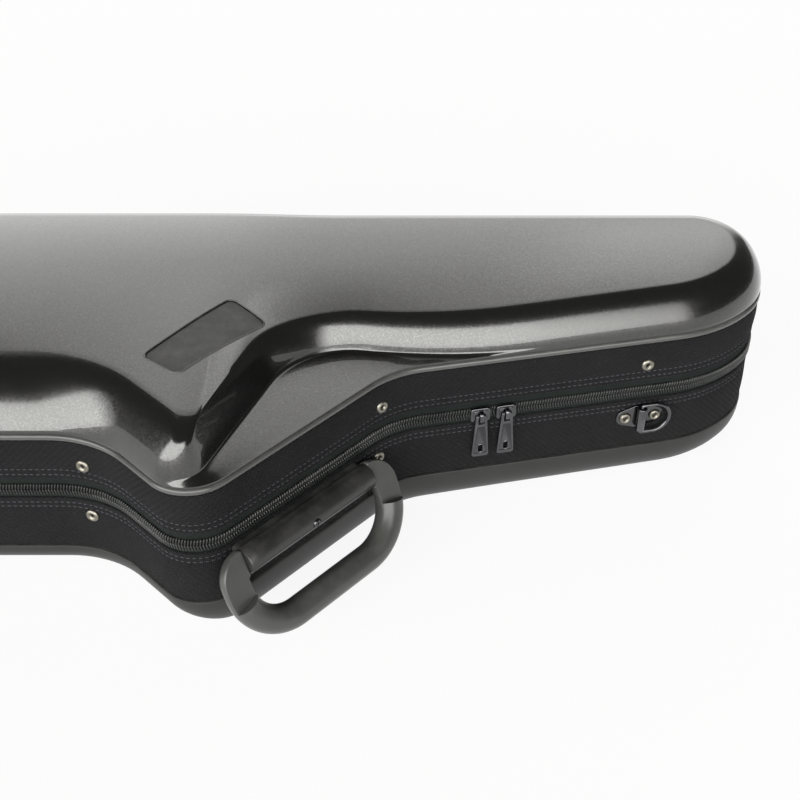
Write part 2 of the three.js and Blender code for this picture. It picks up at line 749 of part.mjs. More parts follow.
function cavityCone(from, to) {
  const a = new THREE.Vector3(bowEnd + from.fromBow, back - from.fromBack, insertTop);
  const b = new THREE.Vector3(bowEnd + to.fromBow, back - to.fromBack, insertTop);
  const along = b.clone().sub(a);
  const rodAxis = new THREE.Vector3(0, 1, 0);
  const turn = new THREE.Quaternion().setFromUnitVectors(rodAxis, along.clone().normalize());
  const middle = a.add(b).multiplyScalar(0.5);
  return new THREE.CylinderGeometry(to.radius, from.radius, along.length(), ROUND_STEPS)
    .applyQuaternion(turn)
    .translate(middle.x, middle.y, middle.z);
}

function pocket({ fromBow, fromBack, length, width, depth, corner }, angle) {
  return plate(roundedRectangle(length, width, corner), depth + CUT_OVERRUN, insertTop - depth)
    .rotateZ(angle)
    .translate(bowEnd + fromBow, back - fromBack, 0);
}

function baseInsert(handle) {
  const lip = PAN_HEIGHT - PAN_LIP;
  const wall = PAN_WALL + INSERT_GAP;
  const block = stackedSolid([flatRing(insertInset, insertTop), flatRing(insertInset, lip),
    ...blockShares.map((share) => panRing(share, wall, insertInset, PAN_WALL + GAP))]);
  const neckSlope = Math.atan2(FLARE_END_WIDTH - NECK_WIDTH, LENGTH - NECK_CORNER_SETBACK - FLARE_END);
  const room = BACKING_THICKNESS + 2 * GAP;
  const backingRoom = new THREE.BoxGeometry(BACKING_LENGTH + 2 * GAP, BACKING_WIDTH + 2 * GAP, 2 * room)
    .translate(0, 0, -HANDLE_STANDOFF - skirtInner - room)
    .applyMatrix4(handle.matrix);
  return cut(block, [
    cavityCone(BODY_AT_BOW, BODY_AT_NECK), cavityBall(BODY_AT_BOW), cavityCone(BODY_AT_BOW, BELL_AT_BOW),
    cavityBall(BELL_AT_BOW), cavityCone(BELL_AT_BOW, BELL_THROAT), cavityCone(BELL_THROAT, BELL_MOUTH),
    pocket(MOUTHPIECE_POCKET, neckSlope), pocket(ACCESSORY_POCKET, 0), backingRoom,
  ]);
}

// Handle, in its own frame: x along the slanted wall, y up, z outwards, origin on the pivot line

function handleFrame() {
  const nose = outlineCorners[edgeNames.indexOf('diagonal')];
  const waist = outlineCorners[edgeNames.indexOf('flare')];
  const along = new THREE.Vector3(waist.x - nose.x, waist.y - nose.y, 0).normalize();
  const outward = along.clone().cross(up);
  const at = new THREE.Vector3(waist.x, waist.y, HANDLE_FROM_FLOOR)
    .addScaledVector(along, -HANDLE_FROM_WAIST)
    .addScaledVector(outward, HANDLE_STANDOFF);
  return outwardFrame(at, along);
}

const wallFace = -HANDLE_STANDOFF - BAND_INSET;
const backingFace = -HANDLE_STANDOFF - skirtInner - GAP;
const screwTop = HANDLE_TUBE / 2 - SCREW_SINK;

function alongX(geometry) {
  return geometry.applyMatrix4(new THREE.Matrix4().makeBasis(
    new THREE.Vector3(0, 1, 0), new THREE.Vector3(0, 0, 1), new THREE.Vector3(1, 0, 0)));
}

function screwBore() {
  return post(SCREW_SHANK / 2 + GAP, backingFace - BACKING_THICKNESS - CUT_OVERRUN, HANDLE_TUBE, BORE_STEPS);
}

function handleBase() {
  const radius = HANDLE_TUBE / 2;
  const shape = new THREE.Shape();
  shape.moveTo(-radius, -HANDLE_TUBE_BACK);
  shape.lineTo(radius, -HANDLE_TUBE_BACK);
  shape.lineTo(radius, 0);
  shape.absarc(0, 0, radius, 0, Math.PI);
  const tube = alongX(new THREE.ExtrudeGeometry(shape, {
    depth: HANDLE_LENGTH, bevelEnabled: false, curveSegments: ROUND_STEPS,
  }).translate(0, 0, -HANDLE_LENGTH / 2));
  const spigotLength = HANDLE_LENGTH + 2 * (HANDLE_END_GAP + HANDLE_SPIGOT_REACH);
  const spigot = rod(HANDLE_SPIGOT / 2, spigotLength, BORE_STEPS).rotateZ(90 * degrees);
  const sink = post(SCREW_HEAD / 2 + GAP, screwTop, HANDLE_TUBE);
  return cut(join([tube, spigot]), [sink, screwBore()]);
}

function handleSeat() {
  const shape = roundedRectangle(HANDLE_LENGTH, HANDLE_SEAT_WIDTH, HANDLE_SEAT_WIDTH / 4);
  const seat = plate(shape, HANDLE_STANDOFF + BAND_INSET - HANDLE_TUBE_BACK - 2 * GAP, wallFace + GAP);
  return cut(seat, [screwBore()]);
}

function handleScrew() {
  const top = screwTop + GAP;
  const end = backingFace - BACKING_THICKNESS;
  const profile = [[0, end], [SCREW_SHANK / 2, end], [SCREW_SHANK / 2, top], [SCREW_HEAD / 2, top],
    [SCREW_HEAD / 2, top + SCREW_HEAD_HEIGHT / 3], [SCREW_HEAD / 3, top + SCREW_HEAD_HEIGHT],
    [0, top + SCREW_HEAD_HEIGHT]];
  return turned(profile, BORE_STEPS);
}

function handleBacking() {
  const shape = roundedRectangle(BACKING_LENGTH, BACKING_WIDTH, BACKING_WIDTH / 4);
  return cut(plate(shape, BACKING_THICKNESS, backingFace - BACKING_THICKNESS), [screwBore()]);
}

// The bail lies in its own x-y plane, y away from the pivot line; its ends are cut flat above
function handleBail() {
  const start = HANDLE_LENGTH / 2 + HANDLE_END_GAP;
  const arm = start + HANDLE_ELBOW;
  const corner = HANDLE_GRIP_CORNER;
  const right = [
    { at: new THREE.Vector2(arm - corner, HANDLE_REACH), along: new THREE.Vector2(-1, 0) },
    ...arcStations({ x: arm - corner, y: HANDLE_REACH - corner }, corner, 0, 90, BEND_STEPS).reverse()
      .slice(1).map(({ at, along }) => ({ at, along })),
    ...arcStations({ x: start, y: HANDLE_ELBOW }, HANDLE_ELBOW, -90, 0, BEND_STEPS).reverse(),
  ].reverse();
  const left = right.map(({ at, along }) => ({
    at: new THREE.Vector2(-at.x, at.y), along: new THREE.Vector2(along.x, -along.y),
  })).reverse();
  const bar = barSolid(flatPathBar([...right, ...left], HANDLE_GRIP / 2, GRIP_STEPS));
  const flats = [1, -1].map((side) => (
    new THREE.BoxGeometry(HANDLE_GRIP * 2, HANDLE_LUG_REACH + HANDLE_GRIP, HANDLE_GRIP)
      .translate(side * arm, (HANDLE_LUG_REACH - HANDLE_GRIP) / 2, -HANDLE_FLAT - HANDLE_GRIP / 2)));
  const bores = [1, -1].map((side) => (
    rod(HANDLE_SPIGOT / 2 + GAP, HANDLE_SPIGOT_REACH + GAP + CUT_OVERRUN, BORE_STEPS)
      .rotateZ(90 * degrees)
      .translate(side * (start + (HANDLE_SPIGOT_REACH + GAP - CUT_OVERRUN) / 2), 0, 0)));
  return cut(bar, [...flats, ...bores]);
}

// Strap rings and rivets, in frames whose origin is on the band's face

function rivetProfile(seat, through) {
  const top = seat + RIVET_GAP + RIVET_RISE;
  const end = through - GAP - RIVET_SET_HEIGHT;
  return [[0, end], [RIVET_SET / 2, end], [RIVET_SET / 2, through - GAP], [RIVET_SHANK / 2, through - GAP],
    [RIVET_SHANK / 2, seat + RIVET_GAP], [RIVET_HEAD / 2, seat + RIVET_GAP], [RIVET_HEAD / 3, top], [0, top]];
}

const skirtBack = BAND_INSET - skirtInner;

function rivet(seat = 0) {
  return turned(rivetProfile(seat, skirtBack), RIVET_STEPS);
}

function rivetBore() {
  return post(RIVET_SHANK / 2 + GAP, skirtBack - RIVET_SHANK, RIVET_HEAD, BORE_STEPS - 2);
}

const ringLevel = PLATE_THICKNESS + GAP + KNUCKLE / 2 - GAP / 2;

// Two round lobes for the rivets, widening to the knuckle between them
function strapPlateShape() {
  const lobe = PLATE_LOBE / 2;
  const edge = 60 * degrees;
  const shape = new THREE.Shape();
  shape.absarc(-PLATE_SPACING / 2, 0, lobe, Math.PI - edge, Math.PI + edge);
  shape.lineTo(-KNUCKLE / 2, -PLATE_HEIGHT / 2);
  shape.lineTo(KNUCKLE / 2, -PLATE_HEIGHT / 2);
  shape.absarc(PLATE_SPACING / 2, 0, lobe, -edge, edge);
  shape.lineTo(KNUCKLE / 2, PLATE_HEIGHT / 2);
  shape.lineTo(-KNUCKLE / 2, PLATE_HEIGHT / 2);
  return shape;
}

function strapPlate() {
  const flat = plate(strapPlateShape(), PLATE_THICKNESS, GAP);
  const knuckle = rod(KNUCKLE / 2, KNUCKLE_HEIGHT).translate(0, 0, ringLevel);
  const bore = rod(RING_WIRE / 2 + GAP, KNUCKLE_HEIGHT + 2 * CUT_OVERRUN, BORE_STEPS)
    .translate(0, 0, ringLevel);
  const rivetBores = [1, -1].map((side) => rivetBore().translate(side * PLATE_SPACING / 2, 0, 0));
  return cut(join([flat, knuckle]), [bore, ...rivetBores]);
}

// A closed D: its straight bar stands in the knuckle on the y axis
function strapRing() {
  const half = RING_HEIGHT / 2;
  const bow = arcStations({ x: RING_REACH - half, y: 0 }, half, -90, 90, 2 * BEND_STEPS);
  const corner = RING_WIRE / 2;
  const top = arcStations({ x: corner, y: half - corner }, corner, 90, 180, 2);
  const bottom = arcStations({ x: corner, y: corner - half }, corner, 180, 270, 2);
  const sections = flatPathBar([...bow, ...top, ...bottom], RING_WIRE / 2, BORE_STEPS - 2);
  return hoopSolid(sections);
}

// Sliders and pulls

const sliderFace = GAP + SLIDER_THICKNESS - COIL_INSET;
const pullPivot = sliderFace + (BRIDGE_RISE - BRIDGE_BAR) / 2;

function slider() {
  const body = plate(roundedRectangle(SLIDER_LENGTH, SLIDER_HEIGHT, SLIDER_CORNER), SLIDER_THICKNESS,
    GAP - COIL_INSET);
  const half = BRIDGE_HEIGHT / 2;
  const arch = new THREE.Shape();
  arch.moveTo(-half, -GAP);
  arch.lineTo(-half + BRIDGE_BAR, -GAP);
  arch.lineTo(-half + BRIDGE_BAR, BRIDGE_RISE - BRIDGE_BAR);
  arch.lineTo(half - BRIDGE_BAR, BRIDGE_RISE - BRIDGE_BAR);
  arch.lineTo(half - BRIDGE_BAR, -GAP);
  arch.lineTo(half, -GAP);
  arch.lineTo(half, BRIDGE_RISE - BRIDGE_BAR);
  arch.lineTo(half - BRIDGE_BAR, BRIDGE_RISE);
  arch.lineTo(BRIDGE_BAR - half, BRIDGE_RISE);
  arch.lineTo(-half, BRIDGE_RISE - BRIDGE_BAR);
  const bridge = alongX(plate(arch, BRIDGE_WIDTH, -BRIDGE_WIDTH / 2)).translate(0, 0, sliderFace);
  return join([body, bridge]);
}

const holeCornerShare = 0.4;

// The pull's origin is its hinge line inside the bridge
function pull() {
  const shape = roundedRectangle(PULL_TOP_WIDTH, PULL_LENGTH, PULL_CORNER, PULL_WIDTH);
  const slot = roundedRectangle(PULL_SLOT_WIDTH, PULL_SLOT_HEIGHT, GAP);
  const hole = roundedRectangle(PULL_HOLE_WIDTH, PULL_HOLE_HEIGHT, PULL_HOLE_WIDTH * holeCornerShare);
  const top = PULL_CROSSBAR / 2;
  const body = plate(shape, PULL_THICKNESS).translate(0, top - PULL_LENGTH / 2, 0);
  const slotTool = plate(slot, 2 * PULL_THICKNESS, -PULL_THICKNESS / 2)
    .translate(0, -PULL_CROSSBAR / 2 - PULL_SLOT_HEIGHT / 2, 0);
  const holeTool = plate(hole, 2 * PULL_THICKNESS, -PULL_THICKNESS / 2)
    .translate(0, top - PULL_LENGTH + PULL_HOLE_HEIGHT, 0);
  return cut(body, [slotTool, holeTool]).translate(0, 0, -PULL_THICKNESS / 2);
}

// Assembly

function addStrapRing(parent, label, fromBow) {
  const holder = sideFrame(fromBow, FRONT, BAND_INSET, zipLevel - RING_BELOW_ZIP);
  holder.add(piece(`strap_plate_${label}`, strapPlate(), finishes.nickel));
  const pivot = new THREE.Group();
  pivot.name = `strap_ring_${label}_pivot`;
  pivot.position.z = ringLevel;
  pivot.add(piece(`strap_ring_${label}`, strapRing(), finishes.nickel));
  holder.add(pivot);
  [['outer', -1], ['inner', 1]].forEach(([place, side]) => {
    const fixing = piece(`strap_rivet_${label}_${place}`, rivet(PLATE_THICKNESS + GAP), finishes.rivet);
    fixing.position.x = side * PLATE_SPACING / 2;
    holder.add(fixing);
  });
  parent.add(holder);
  return [-1, 1].map((side) => (
    rivetBore().translate(side * PLATE_SPACING / 2, 0, 0).applyMatrix4(holder.matrix)));
}

function addRivets(parent, prefix, places, side, level) {
  return Object.entries(places).map(([label, fromBow]) => {
    const holder = sideFrame(fromBow, side, BAND_INSET, level);
    holder.add(piece(`${prefix}_${label}`, rivet(), finishes.rivet));
    parent.add(holder);
    return rivetBore().applyMatrix4(holder.matrix);
  });
}

function addHandle(parent, holder) {
  holder.name = 'handle_pivot';
  holder.add(piece('handle_base', handleBase(), finishes.handle));
  holder.add(piece('handle_seat', handleSeat(), finishes.rubber));
  holder.add(piece('handle_screw', handleScrew(), finishes.nickel));
  holder.add(piece('handle_backing_plate', handleBacking(), finishes.steel));
  const bail = piece('handle_bail', handleBail(), finishes.handle);
  bail.rotation.x = (90 + HANDLE_DROOP) * degrees;
  holder.add(bail);
  parent.add(holder);
}

function addSlider(parent, label, fromBow) {
  const holder = sideFrame(fromBow, FRONT, 0, zipLevel);
  holder.name = `slider_${label}_frame`;
  holder.add(piece(`slider_${label}`, slider(), finishes.nickel));
  const pivot = new THREE.Group();
  pivot.name = `pull_${label}_pivot`;
  pivot.position.z = pullPivot;
  pivot.add(piece(`pull_${label}`, pull(), finishes.nickel));
  holder.add(pivot);
  parent.add(holder);
}

function addZipTabs(parent) {
  [['bow', -1], ['neck', 1]].forEach(([label, side]) => {
    const x = neckEnd + side * (HINGE_LENGTH / 2 + ZIP_TAB_LENGTH / 4);
    const holder = sideFrame(x, BACK, COIL_INSET - GAP, zipLevel - ZIP_TAB_HEIGHT / 2 - ZIP_TAB_DROP);
    holder.add(piece(`zip_end_tab_${label}`, zipTab(), finishes.fabric));
    parent.add(holder);
  });
}

const alto = new THREE.Group();
const upperRivetLevel = rimLevel - UPPER_RIVET_DROP;
const lowerRivetLevel = zipLevel - LOWER_RIVET_DROP;
const upperFrontRivets = {
  bow: FRONT_RIVET_FROM_BOW,
  waist: WAIST_START - UPPER_RIVET_FROM_WAIST,
  neck: LENGTH - FRONT_RIVET_FROM_NECK,
};
const lowerFrontRivets = { bow: FRONT_RIVET_FROM_BOW, waist: WAIST_START - LOWER_RIVET_FROM_WAIST };
const backRivets = { bow: BACK_RIVET_FROM_ENDS, middle: LENGTH / 2, neck: LENGTH - BACK_RIVET_FROM_ENDS };
const upperBores = [
  ...addRivets(alto, 'upper_front_rivet', upperFrontRivets, FRONT, upperRivetLevel),
  ...addRivets(alto, 'upper_back_rivet', backRivets, BACK, upperRivetLevel),
];
const lowerBores = [
  ...addRivets(alto, 'lower_front_rivet', lowerFrontRivets, FRONT, lowerRivetLevel),
  ...addRivets(alto, 'lower_back_rivet', backRivets, BACK, lowerRivetLevel),
  ...addStrapRing(alto, 'neck', LENGTH - RING_FROM_END),
  ...addStrapRing(alto, 'bow', RING_FROM_BOW),
];
const handle = handleFrame();
lowerBores.push(screwBore().applyMatrix4(handle.matrix));
addHandle(alto, handle);
addSlider(alto, 'left', LENGTH - SLIDER_LEFT_FROM_NECK);
addSlider(alto, 'right', LENGTH - SLIDER_LEFT_FROM_NECK + SLIDER_SPACING);
addZipTabs(alto);

const upperFar = rimLevel - BEAD_HEIGHT / 2 - GAP;
alto.add(
  piece('lid_shell', cut(lidShell(), [labelAbove(0, LABEL_DEPTH), ...upperBores]), finishes.paint),
  piece('label_plate', labelPlate(), finishes.label),
  piece('lid_rim_bead', rimBead(), finishes.bead),
  piece('upper_band', cut(band(1, upperFar), upperBores), finishes.fabric),
  piece('upper_zip_tape', zipTape(1), finishes.tape),
  piece('upper_zip_coil', zipCoil(1), finishes.coil),
  piece('hinge_strip_upper', hingeStrip(1), finishes.fabric),
  piece('lid_insert', lidInsert(), finishes.plush),
  piece('lower_shell', cut(panShell(), lowerBores), finishes.pan),
  piece('lower_band', cut(band(-1, PAN_HEIGHT + GAP), lowerBores), finishes.fabric),
  piece('lower_zip_tape', zipTape(-1), finishes.tape),
  piece('lower_zip_coil', zipCoil(-1), finishes.coil),
  piece('hinge_strip_lower', hingeStrip(-1), finishes.fabric),
  piece('base_insert', baseInsert(handle), finishes.plush),
);

export default alto;
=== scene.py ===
"""Alto saxophone case lying closed: glossy composite lid, satin pan, fabric bands, zip, handle and strap rings.

Metres, +Z up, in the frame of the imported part. +X is the narrow neck end and -Y is the zip and handle side.
"""

import json
import math

import bmesh
import bpy
from bpy.props import FloatProperty, FloatVectorProperty, IntProperty, PointerProperty
from mathutils import Matrix, Vector


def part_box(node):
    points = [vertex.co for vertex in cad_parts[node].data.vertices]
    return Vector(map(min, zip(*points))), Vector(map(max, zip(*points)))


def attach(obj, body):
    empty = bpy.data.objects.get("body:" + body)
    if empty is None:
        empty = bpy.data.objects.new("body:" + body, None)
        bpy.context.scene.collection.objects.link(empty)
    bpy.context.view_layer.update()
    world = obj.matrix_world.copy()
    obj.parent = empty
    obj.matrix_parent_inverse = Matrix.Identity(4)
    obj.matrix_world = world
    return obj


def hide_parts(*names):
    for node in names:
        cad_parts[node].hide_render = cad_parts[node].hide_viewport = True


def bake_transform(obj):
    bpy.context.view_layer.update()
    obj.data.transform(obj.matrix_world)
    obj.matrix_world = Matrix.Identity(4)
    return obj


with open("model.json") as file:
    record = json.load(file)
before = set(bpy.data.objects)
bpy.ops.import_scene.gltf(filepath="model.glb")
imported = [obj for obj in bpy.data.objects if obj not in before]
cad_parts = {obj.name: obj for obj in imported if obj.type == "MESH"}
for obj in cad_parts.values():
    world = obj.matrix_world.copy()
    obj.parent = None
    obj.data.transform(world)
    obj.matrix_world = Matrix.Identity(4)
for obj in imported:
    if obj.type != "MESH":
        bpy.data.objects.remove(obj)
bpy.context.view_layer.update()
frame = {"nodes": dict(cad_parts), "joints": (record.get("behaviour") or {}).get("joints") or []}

bl_info = {
    "name": "Alto Saxophone Case",
    "version": (1, 0, 0),
    "blender": (4, 5, 0),
    "location": "3D View > Sidebar > Case",
    "description": "Builds the lid, pan, bands, zip, handle and fittings of a contoured alto saxophone case",
    "category": "Add Mesh",
}

# Outline of the closed case, seen from above
LENGTH = 0.675
WIDTH = 0.280
BOW_WIDTH = 0.231
BOW_END = -LENGTH / 2
NECK_END = LENGTH / 2
BACK = WIDTH / 2
EDGES = ("bow", "front", "shoulder", "diagonal", "flare", "neck", "corner", "end", "back")
# Each corner's distance from the bow end, from the back, and its radius
CORNERS = (
    (0, 0, 0.085),
    (0, BOW_WIDTH, 0.085),
    (0.231, BOW_WIDTH, 0.070),
    (0.295, WIDTH + 0.015, 0.031),
    (0.414, 0.166, 0.065),
    (0.485, 0.151, 0.400),
    (LENGTH - 0.040, 0.119, 0.100),
    (LENGTH, 0.079, 0.064),
    (LENGTH, 0, 0.050),
)
NOSE, WAIST, FLARE_END = 3, 4, 5

# Two sides whose turn has a smaller sine than this run straight on, and two corners' tangents fill at most this share
# of the side between them
STRAIGHT_TURN = 0.05
TANGENT_SHARE = 0.96
LEAST_TURN = math.radians(2)
LEAST_RADIUS = 0.003

# How many steps each corner and each side has; the back has three, with the cloth hinge in the middle
CORNER_STEPS = (16, 16, 12, 18, 16, 6, 8, 12, 12)
SIDE_STEPS = (8, 18, 4, 18, 8, 18, 4, 4)
BACK_STEPS = (14, 32, 14)
HINGE_LENGTH = 0.320

# Levels and walls
PAN_HEIGHT = 0.035
ZIP_LEVEL = PAN_HEIGHT + 0.0486
RIM_LEVEL = ZIP_LEVEL + 0.0419
BEAD_HEIGHT = 0.0044
GROOVE_HEIGHT = 0.002
GROOVE_DEPTH = 0.0016
GAP = 0.0003
DOME_LEVEL = RIM_LEVEL + BEAD_HEIGHT / 2 + GAP + GROOVE_HEIGHT
LID_RISE = 0.033
WALL = 0.003
SKIRT_WALL = 0.0025
SKIRT_REACH = 0.028
BAND_INSET = 0.001
BAND_WALL = 0.004
SKIRT_OUTER = BAND_INSET + BAND_WALL + GAP
SKIRT_INNER = SKIRT_OUTER + SKIRT_WALL
LINING_FOOT = SKIRT_INNER + 0.0019
PAN_LIP = 0.0025
TAPE_INSET = 0.0024
COIL_INSET = 0.0001

# The roll along each side of the lid: its radius, its slope at the foot and at the crest in degrees, and how far
# the crest lies below the highest one
LID_ROLLS = dict(zip(EDGES, (0.050, 0.050, 0.031, 0.028, 0.022, 0.022, 0.024, 0.027, 0.030)))
FOOT_SLOPES = dict(zip(EDGES, (70, 70, 74, 61, 66, 80, 88, 88, 88)))
CREST_SLOPES = dict(zip(EDGES, (9, 9, 9, 11, 7, 7, 9, 9, 9)))
SINKS = dict(zip(EDGES, (0, 0, 0, 0.001, 0.0015, 0, 0, 0, 0)))

# The near flat ledge between the rim and the lid's bulge: where the bulge's foot has its waist corner, and where
# along the flare it meets the rim again, both from the bow end and the back as above
LEDGE_CORNER = (0.353, 0.145)
LEDGE_END = 0.454
(WAIST_ALONG, WAIST_WIDTH, _), (FLARE_ALONG, FLARE_WIDTH, _) = CORNERS[WAIST], CORNERS[FLARE_END]
FROM_FLARE_TO_WAIST = Vector((WAIST_ALONG - FLARE_ALONG, FLARE_WIDTH - WAIST_WIDTH))
LEDGE_SHIFTS = {
    WAIST: Vector((LEDGE_CORNER[0] - WAIST_ALONG, WAIST_WIDTH - LEDGE_CORNER[1])),
    FLARE_END: FROM_FLARE_TO_WAIST * (FLARE_ALONG - LEDGE_END) / (FLARE_ALONG - WAIST_ALONG),
}
LEDGE_RISE = 0.004

# How much longer the round of the bulge's foot is at the ledge's corners, and how much tighter at the nose
LEDGE_REACH = 0.004
NOSE_TIGHTER = 0.011

# The ledge climbs evenly over this share of its width, then turns up and meets the bulge this high
LEDGE_TURN = 0.94
TURN_TOP = 0.0062

# The lid's top rises by the crown from the end of the roll to a spine
CROWN_AT_BOW = 0.0059
CROWN_AT_NECK = 0.0014
SPINE_START = Vector((BOW_END + 0.105, BACK - 0.112))
SPINE_END = Vector((NECK_END - 0.065, BACK - 0.068))
LID_INSET = 0.0006
LID_EDGE = 0.0005

# The lid stands lower over the neck: by these shares of its height at the back and in front, and from the first
# place along the case to the second
FALL_AT_BACK, FALL_IN_FRONT = 0.06, 0.26
FALL_START, FALL_END = -0.050, 0.040
FALL_BACK, FALL_FRONT = 0.120, -0.010
CREST_RADIUS = 0.009

# How far each side of the pan curves under, and how steeply it starts
PAN_ROLLS = dict(zip(EDGES, (0.050, 0.050, 0.045, 0.022, 0.030, 0.040, 0.040, 0.040, 0.040)))
PAN_TURNS = dict(zip(EDGES, (0.018, 0.018, 0.020, 0.031, 0.031, 0.031, 0.031, 0.031, 0.031)))
PAN_LEAST_RADIUS = 0.012
PAN_EDGE = 0.0007

FRONT, REAR = -1, 1

# A small edge falls off by this share of its width halfway, and a turned piece starts this near its axis
EDGE_FALL = 0.3
NEAR_AXIS = 0.00005


# The outline and its rings


def per_edge(value):
    """One value for every side, from a single value or from each side's own."""
    return [value[name] if isinstance(value, dict) else value for name in EDGES]


def each_edge(change):
    return {name: change(name) for name in EDGES}


def blend_of(a, b, share):
    return a + (b - a) * share


def inward(start, end):
    """The level direction into the case from a side that runs from start to end."""
    along = (end - start).normalized()
    return Vector((-along.y, along.x))


def inset_corners(insets, shifted):
    """Each corner with its sides moved in, whether it is convex, and the mean of its two insets.

    The ledge's corners also move by a share of their shift.
    """
    places = [Vector((BOW_END + x, BACK - y)) for x, y, _ in CORNERS]
    moved = []
    for i, place in enumerate(places):
        first = inward(places[i - 1], place)
        second = inward(place, places[(i + 1) % len(places)])
        turn = first.x * second.y - first.y * second.x
        mean = (insets[i - 1] + insets[i]) / 2
        if abs(turn) < STRAIGHT_TURN:
            spot = place + first * mean
        else:
            shift = insets[i - 1] * second.y - insets[i] * first.y, insets[i] * first.x - insets[i - 1] * second.x
            spot = place + Vector(shift) / turn
        spot = spot + LEDGE_SHIFTS.get(i, Vector((0, 0))) * shifted
        moved.append((spot, turn > 0, mean))
    return moved


def corner_tangents(corners, least_radius, shifted):
    """Length of each corner's tangents, shortened where two would meet on one side."""
    wanted, count = [], len(corners)
    for i, (spot, convex, mean) in enumerate(corners):
        before, after = corners[i - 1][0] - spot, corners[(i + 1) % count][0] - spot
        half = (math.pi - before.angle(after)) / 2
        radius = CORNERS[i][2] - (NOSE_TIGHTER * shifted if i == NOSE else 0)
        bent = max(least_radius, radius - mean) if convex else radius + mean
        extra = LEDGE_REACH * shifted if i in LEDGE_SHIFTS else 0
        wanted.append(max(bent * math.tan(half), radius * math.tan(LEAST_TURN)) + extra)
    room = []
    for i, (spot, _, _) in enumerate(corners):
        side = (corners[(i + 1) % count][0] - spot).length
        room.append(min(1, TANGENT_SHARE * side / (wanted[i] + wanted[(i + 1) % count])))
    return [tangent * min(room[i], room[i - 1]) for i, tangent in enumerate(wanted)]


def corner_points(spot, before, after, tangent, steps):
    """Points round one corner: a weighted quadratic curve, which is a true arc between equal tangents."""
    to_before, to_after = (before - spot).normalized(), (after - spot).normalized()
    weight = math.cos((math.pi - to_before.angle(to_after)) / 2)
    start, end = spot + to_before * tangent, spot + to_after * tangent
    points = []
    for k in range(steps + 1):
        t = k / steps
        shares = (1 - t) ** 2, 2 * t * (1 - t) * weight, t**2
        points.append((start * shares[0] + spot * shares[1] + end * shares[2]) / sum(shares))
    return points


def between(start, end, steps):
    """Evenly spaced points between two ends, which are left out."""
    return [start.lerp(end, k / steps) for k in range(1, steps)]


def ring(inset, level, shifted=0, least_radius=LEAST_RADIUS):
    """One ring of the case at its insets and levels, from the bow end round the front to the back."""
    insets, levels = per_edge(inset), per_edge(level)
    corners = inset_corners(insets, shifted)
    tangents = corner_tangents(corners, least_radius, shifted)
    count = len(corners)
    arcs = []
    for i, (spot, _, _) in enumerate(corners):
        flat = corner_points(spot, corners[i - 1][0], corners[(i + 1) % count][0], tangents[i], CORNER_STEPS[i])
        arcs.append([
            Vector((p.x, p.y, blend_of(levels[i - 1], levels[i], k / CORNER_STEPS[i]))) for k, p in enumerate(flat)
        ])
    points = []
    for i, steps in enumerate(SIDE_STEPS):
        points += arcs[i] + between(arcs[i][-1], arcs[i + 1][0], steps)
    points += arcs[-1]
    hinge = [Vector((side * HINGE_LENGTH / 2, BACK - insets[-1], levels[-1])) for side in (1, -1)]
    stops = [arcs[-1][-1], *hinge, arcs[0][0]]
    for k, steps in enumerate(BACK_STEPS):
        points += between(stops[k], stops[k + 1], steps)
        if k < 2:
            points.append(stops[k + 1])
    return points


def zip_path(inset, level):
    """The ring opened at the back hinge, from its bow end round the front to its neck end."""
    points = ring(inset, level)
    bow_side, middle = BACK_STEPS[2], BACK_STEPS[1]
    return points[-bow_side:] + points[: len(points) - bow_side - middle + 1]


def hinge_path(inset, level, steps=40):
    """A straight line along the back, as long as the cloth hinge."""
    start, end = (Vector((side * (HINGE_LENGTH / 2 - GAP), BACK - inset, level)) for side in (1, -1))
    return [start, *between(start, end, steps), end]


def outward_frame(at, along):
    """x along the outline, y up, z outwards."""
    flat = Vector((along.x, along.y, 0)).normalized()
    out = flat.cross(Vector((0, 0, 1)))
    turned = Matrix((flat, Vector((0, 0, 1)), out)).transposed().to_4x4()
    return Matrix.Translation(at) @ turned


def side_frame(from_bow, side, inset, level):
    """Where a fitting sits on the outline's front or rear."""
    x = BOW_END + from_bow
    points = ring(inset, level)
    crossings = []
    for a, b in zip(points, points[1:] + points[:1]):
        if (a.x - x) * (b.x - x) <= 0 and a.x != b.x:
            crossings.append((a.lerp(b, (x - a.x) / (b.x - a.x)), b - a))
    at, along = max(crossings, key=lambda found: found[0].y * side)
    return outward_frame(at, along)


def hinge_frame(name):
    """x along a joint's axis turned to the neck end, y up, z outwards, at the joint's own place."""
    joint = next(j for j in frame["joints"] if j["name"] == name)
    axis = Vector(joint["axis"])
    return outward_frame(Vector(joint["pos_m"]), axis if axis.x > 0 else -axis)


# Modelling steps


def rest():
    """Leaves nothing selected, so that the next step acts on its own piece alone."""
    if bpy.context.object and bpy.context.object.mode != "OBJECT":
        bpy.ops.object.mode_set(mode="OBJECT")
    bpy.ops.object.select_all(action="DESELECT")


def take(piece):
    rest()
    piece.select_set(True)
    bpy.context.view_layer.objects.active = piece


def edit_mesh(piece):
    """The piece's mesh in edit mode, its corners numbered afresh."""
    mesh = bmesh.from_edit_mesh(piece.data)
    mesh.verts.index_update()
    mesh.verts.ensure_lookup_table()
    return mesh


def new_circle(name, points):
    """A circle primitive, open in edit mode, with its corners moved to the points."""
    rest()
    bpy.ops.mesh.primitive_circle_add(vertices=len(points), radius=WIDTH, fill_type="NOTHING")
    piece = bpy.context.object
    piece.name = piece.data.name = name
    bpy.ops.object.mode_set(mode="EDIT")
    mesh = edit_mesh(piece)
    for index, point in enumerate(points):
        mesh.verts[index].co = point
    return piece, mesh


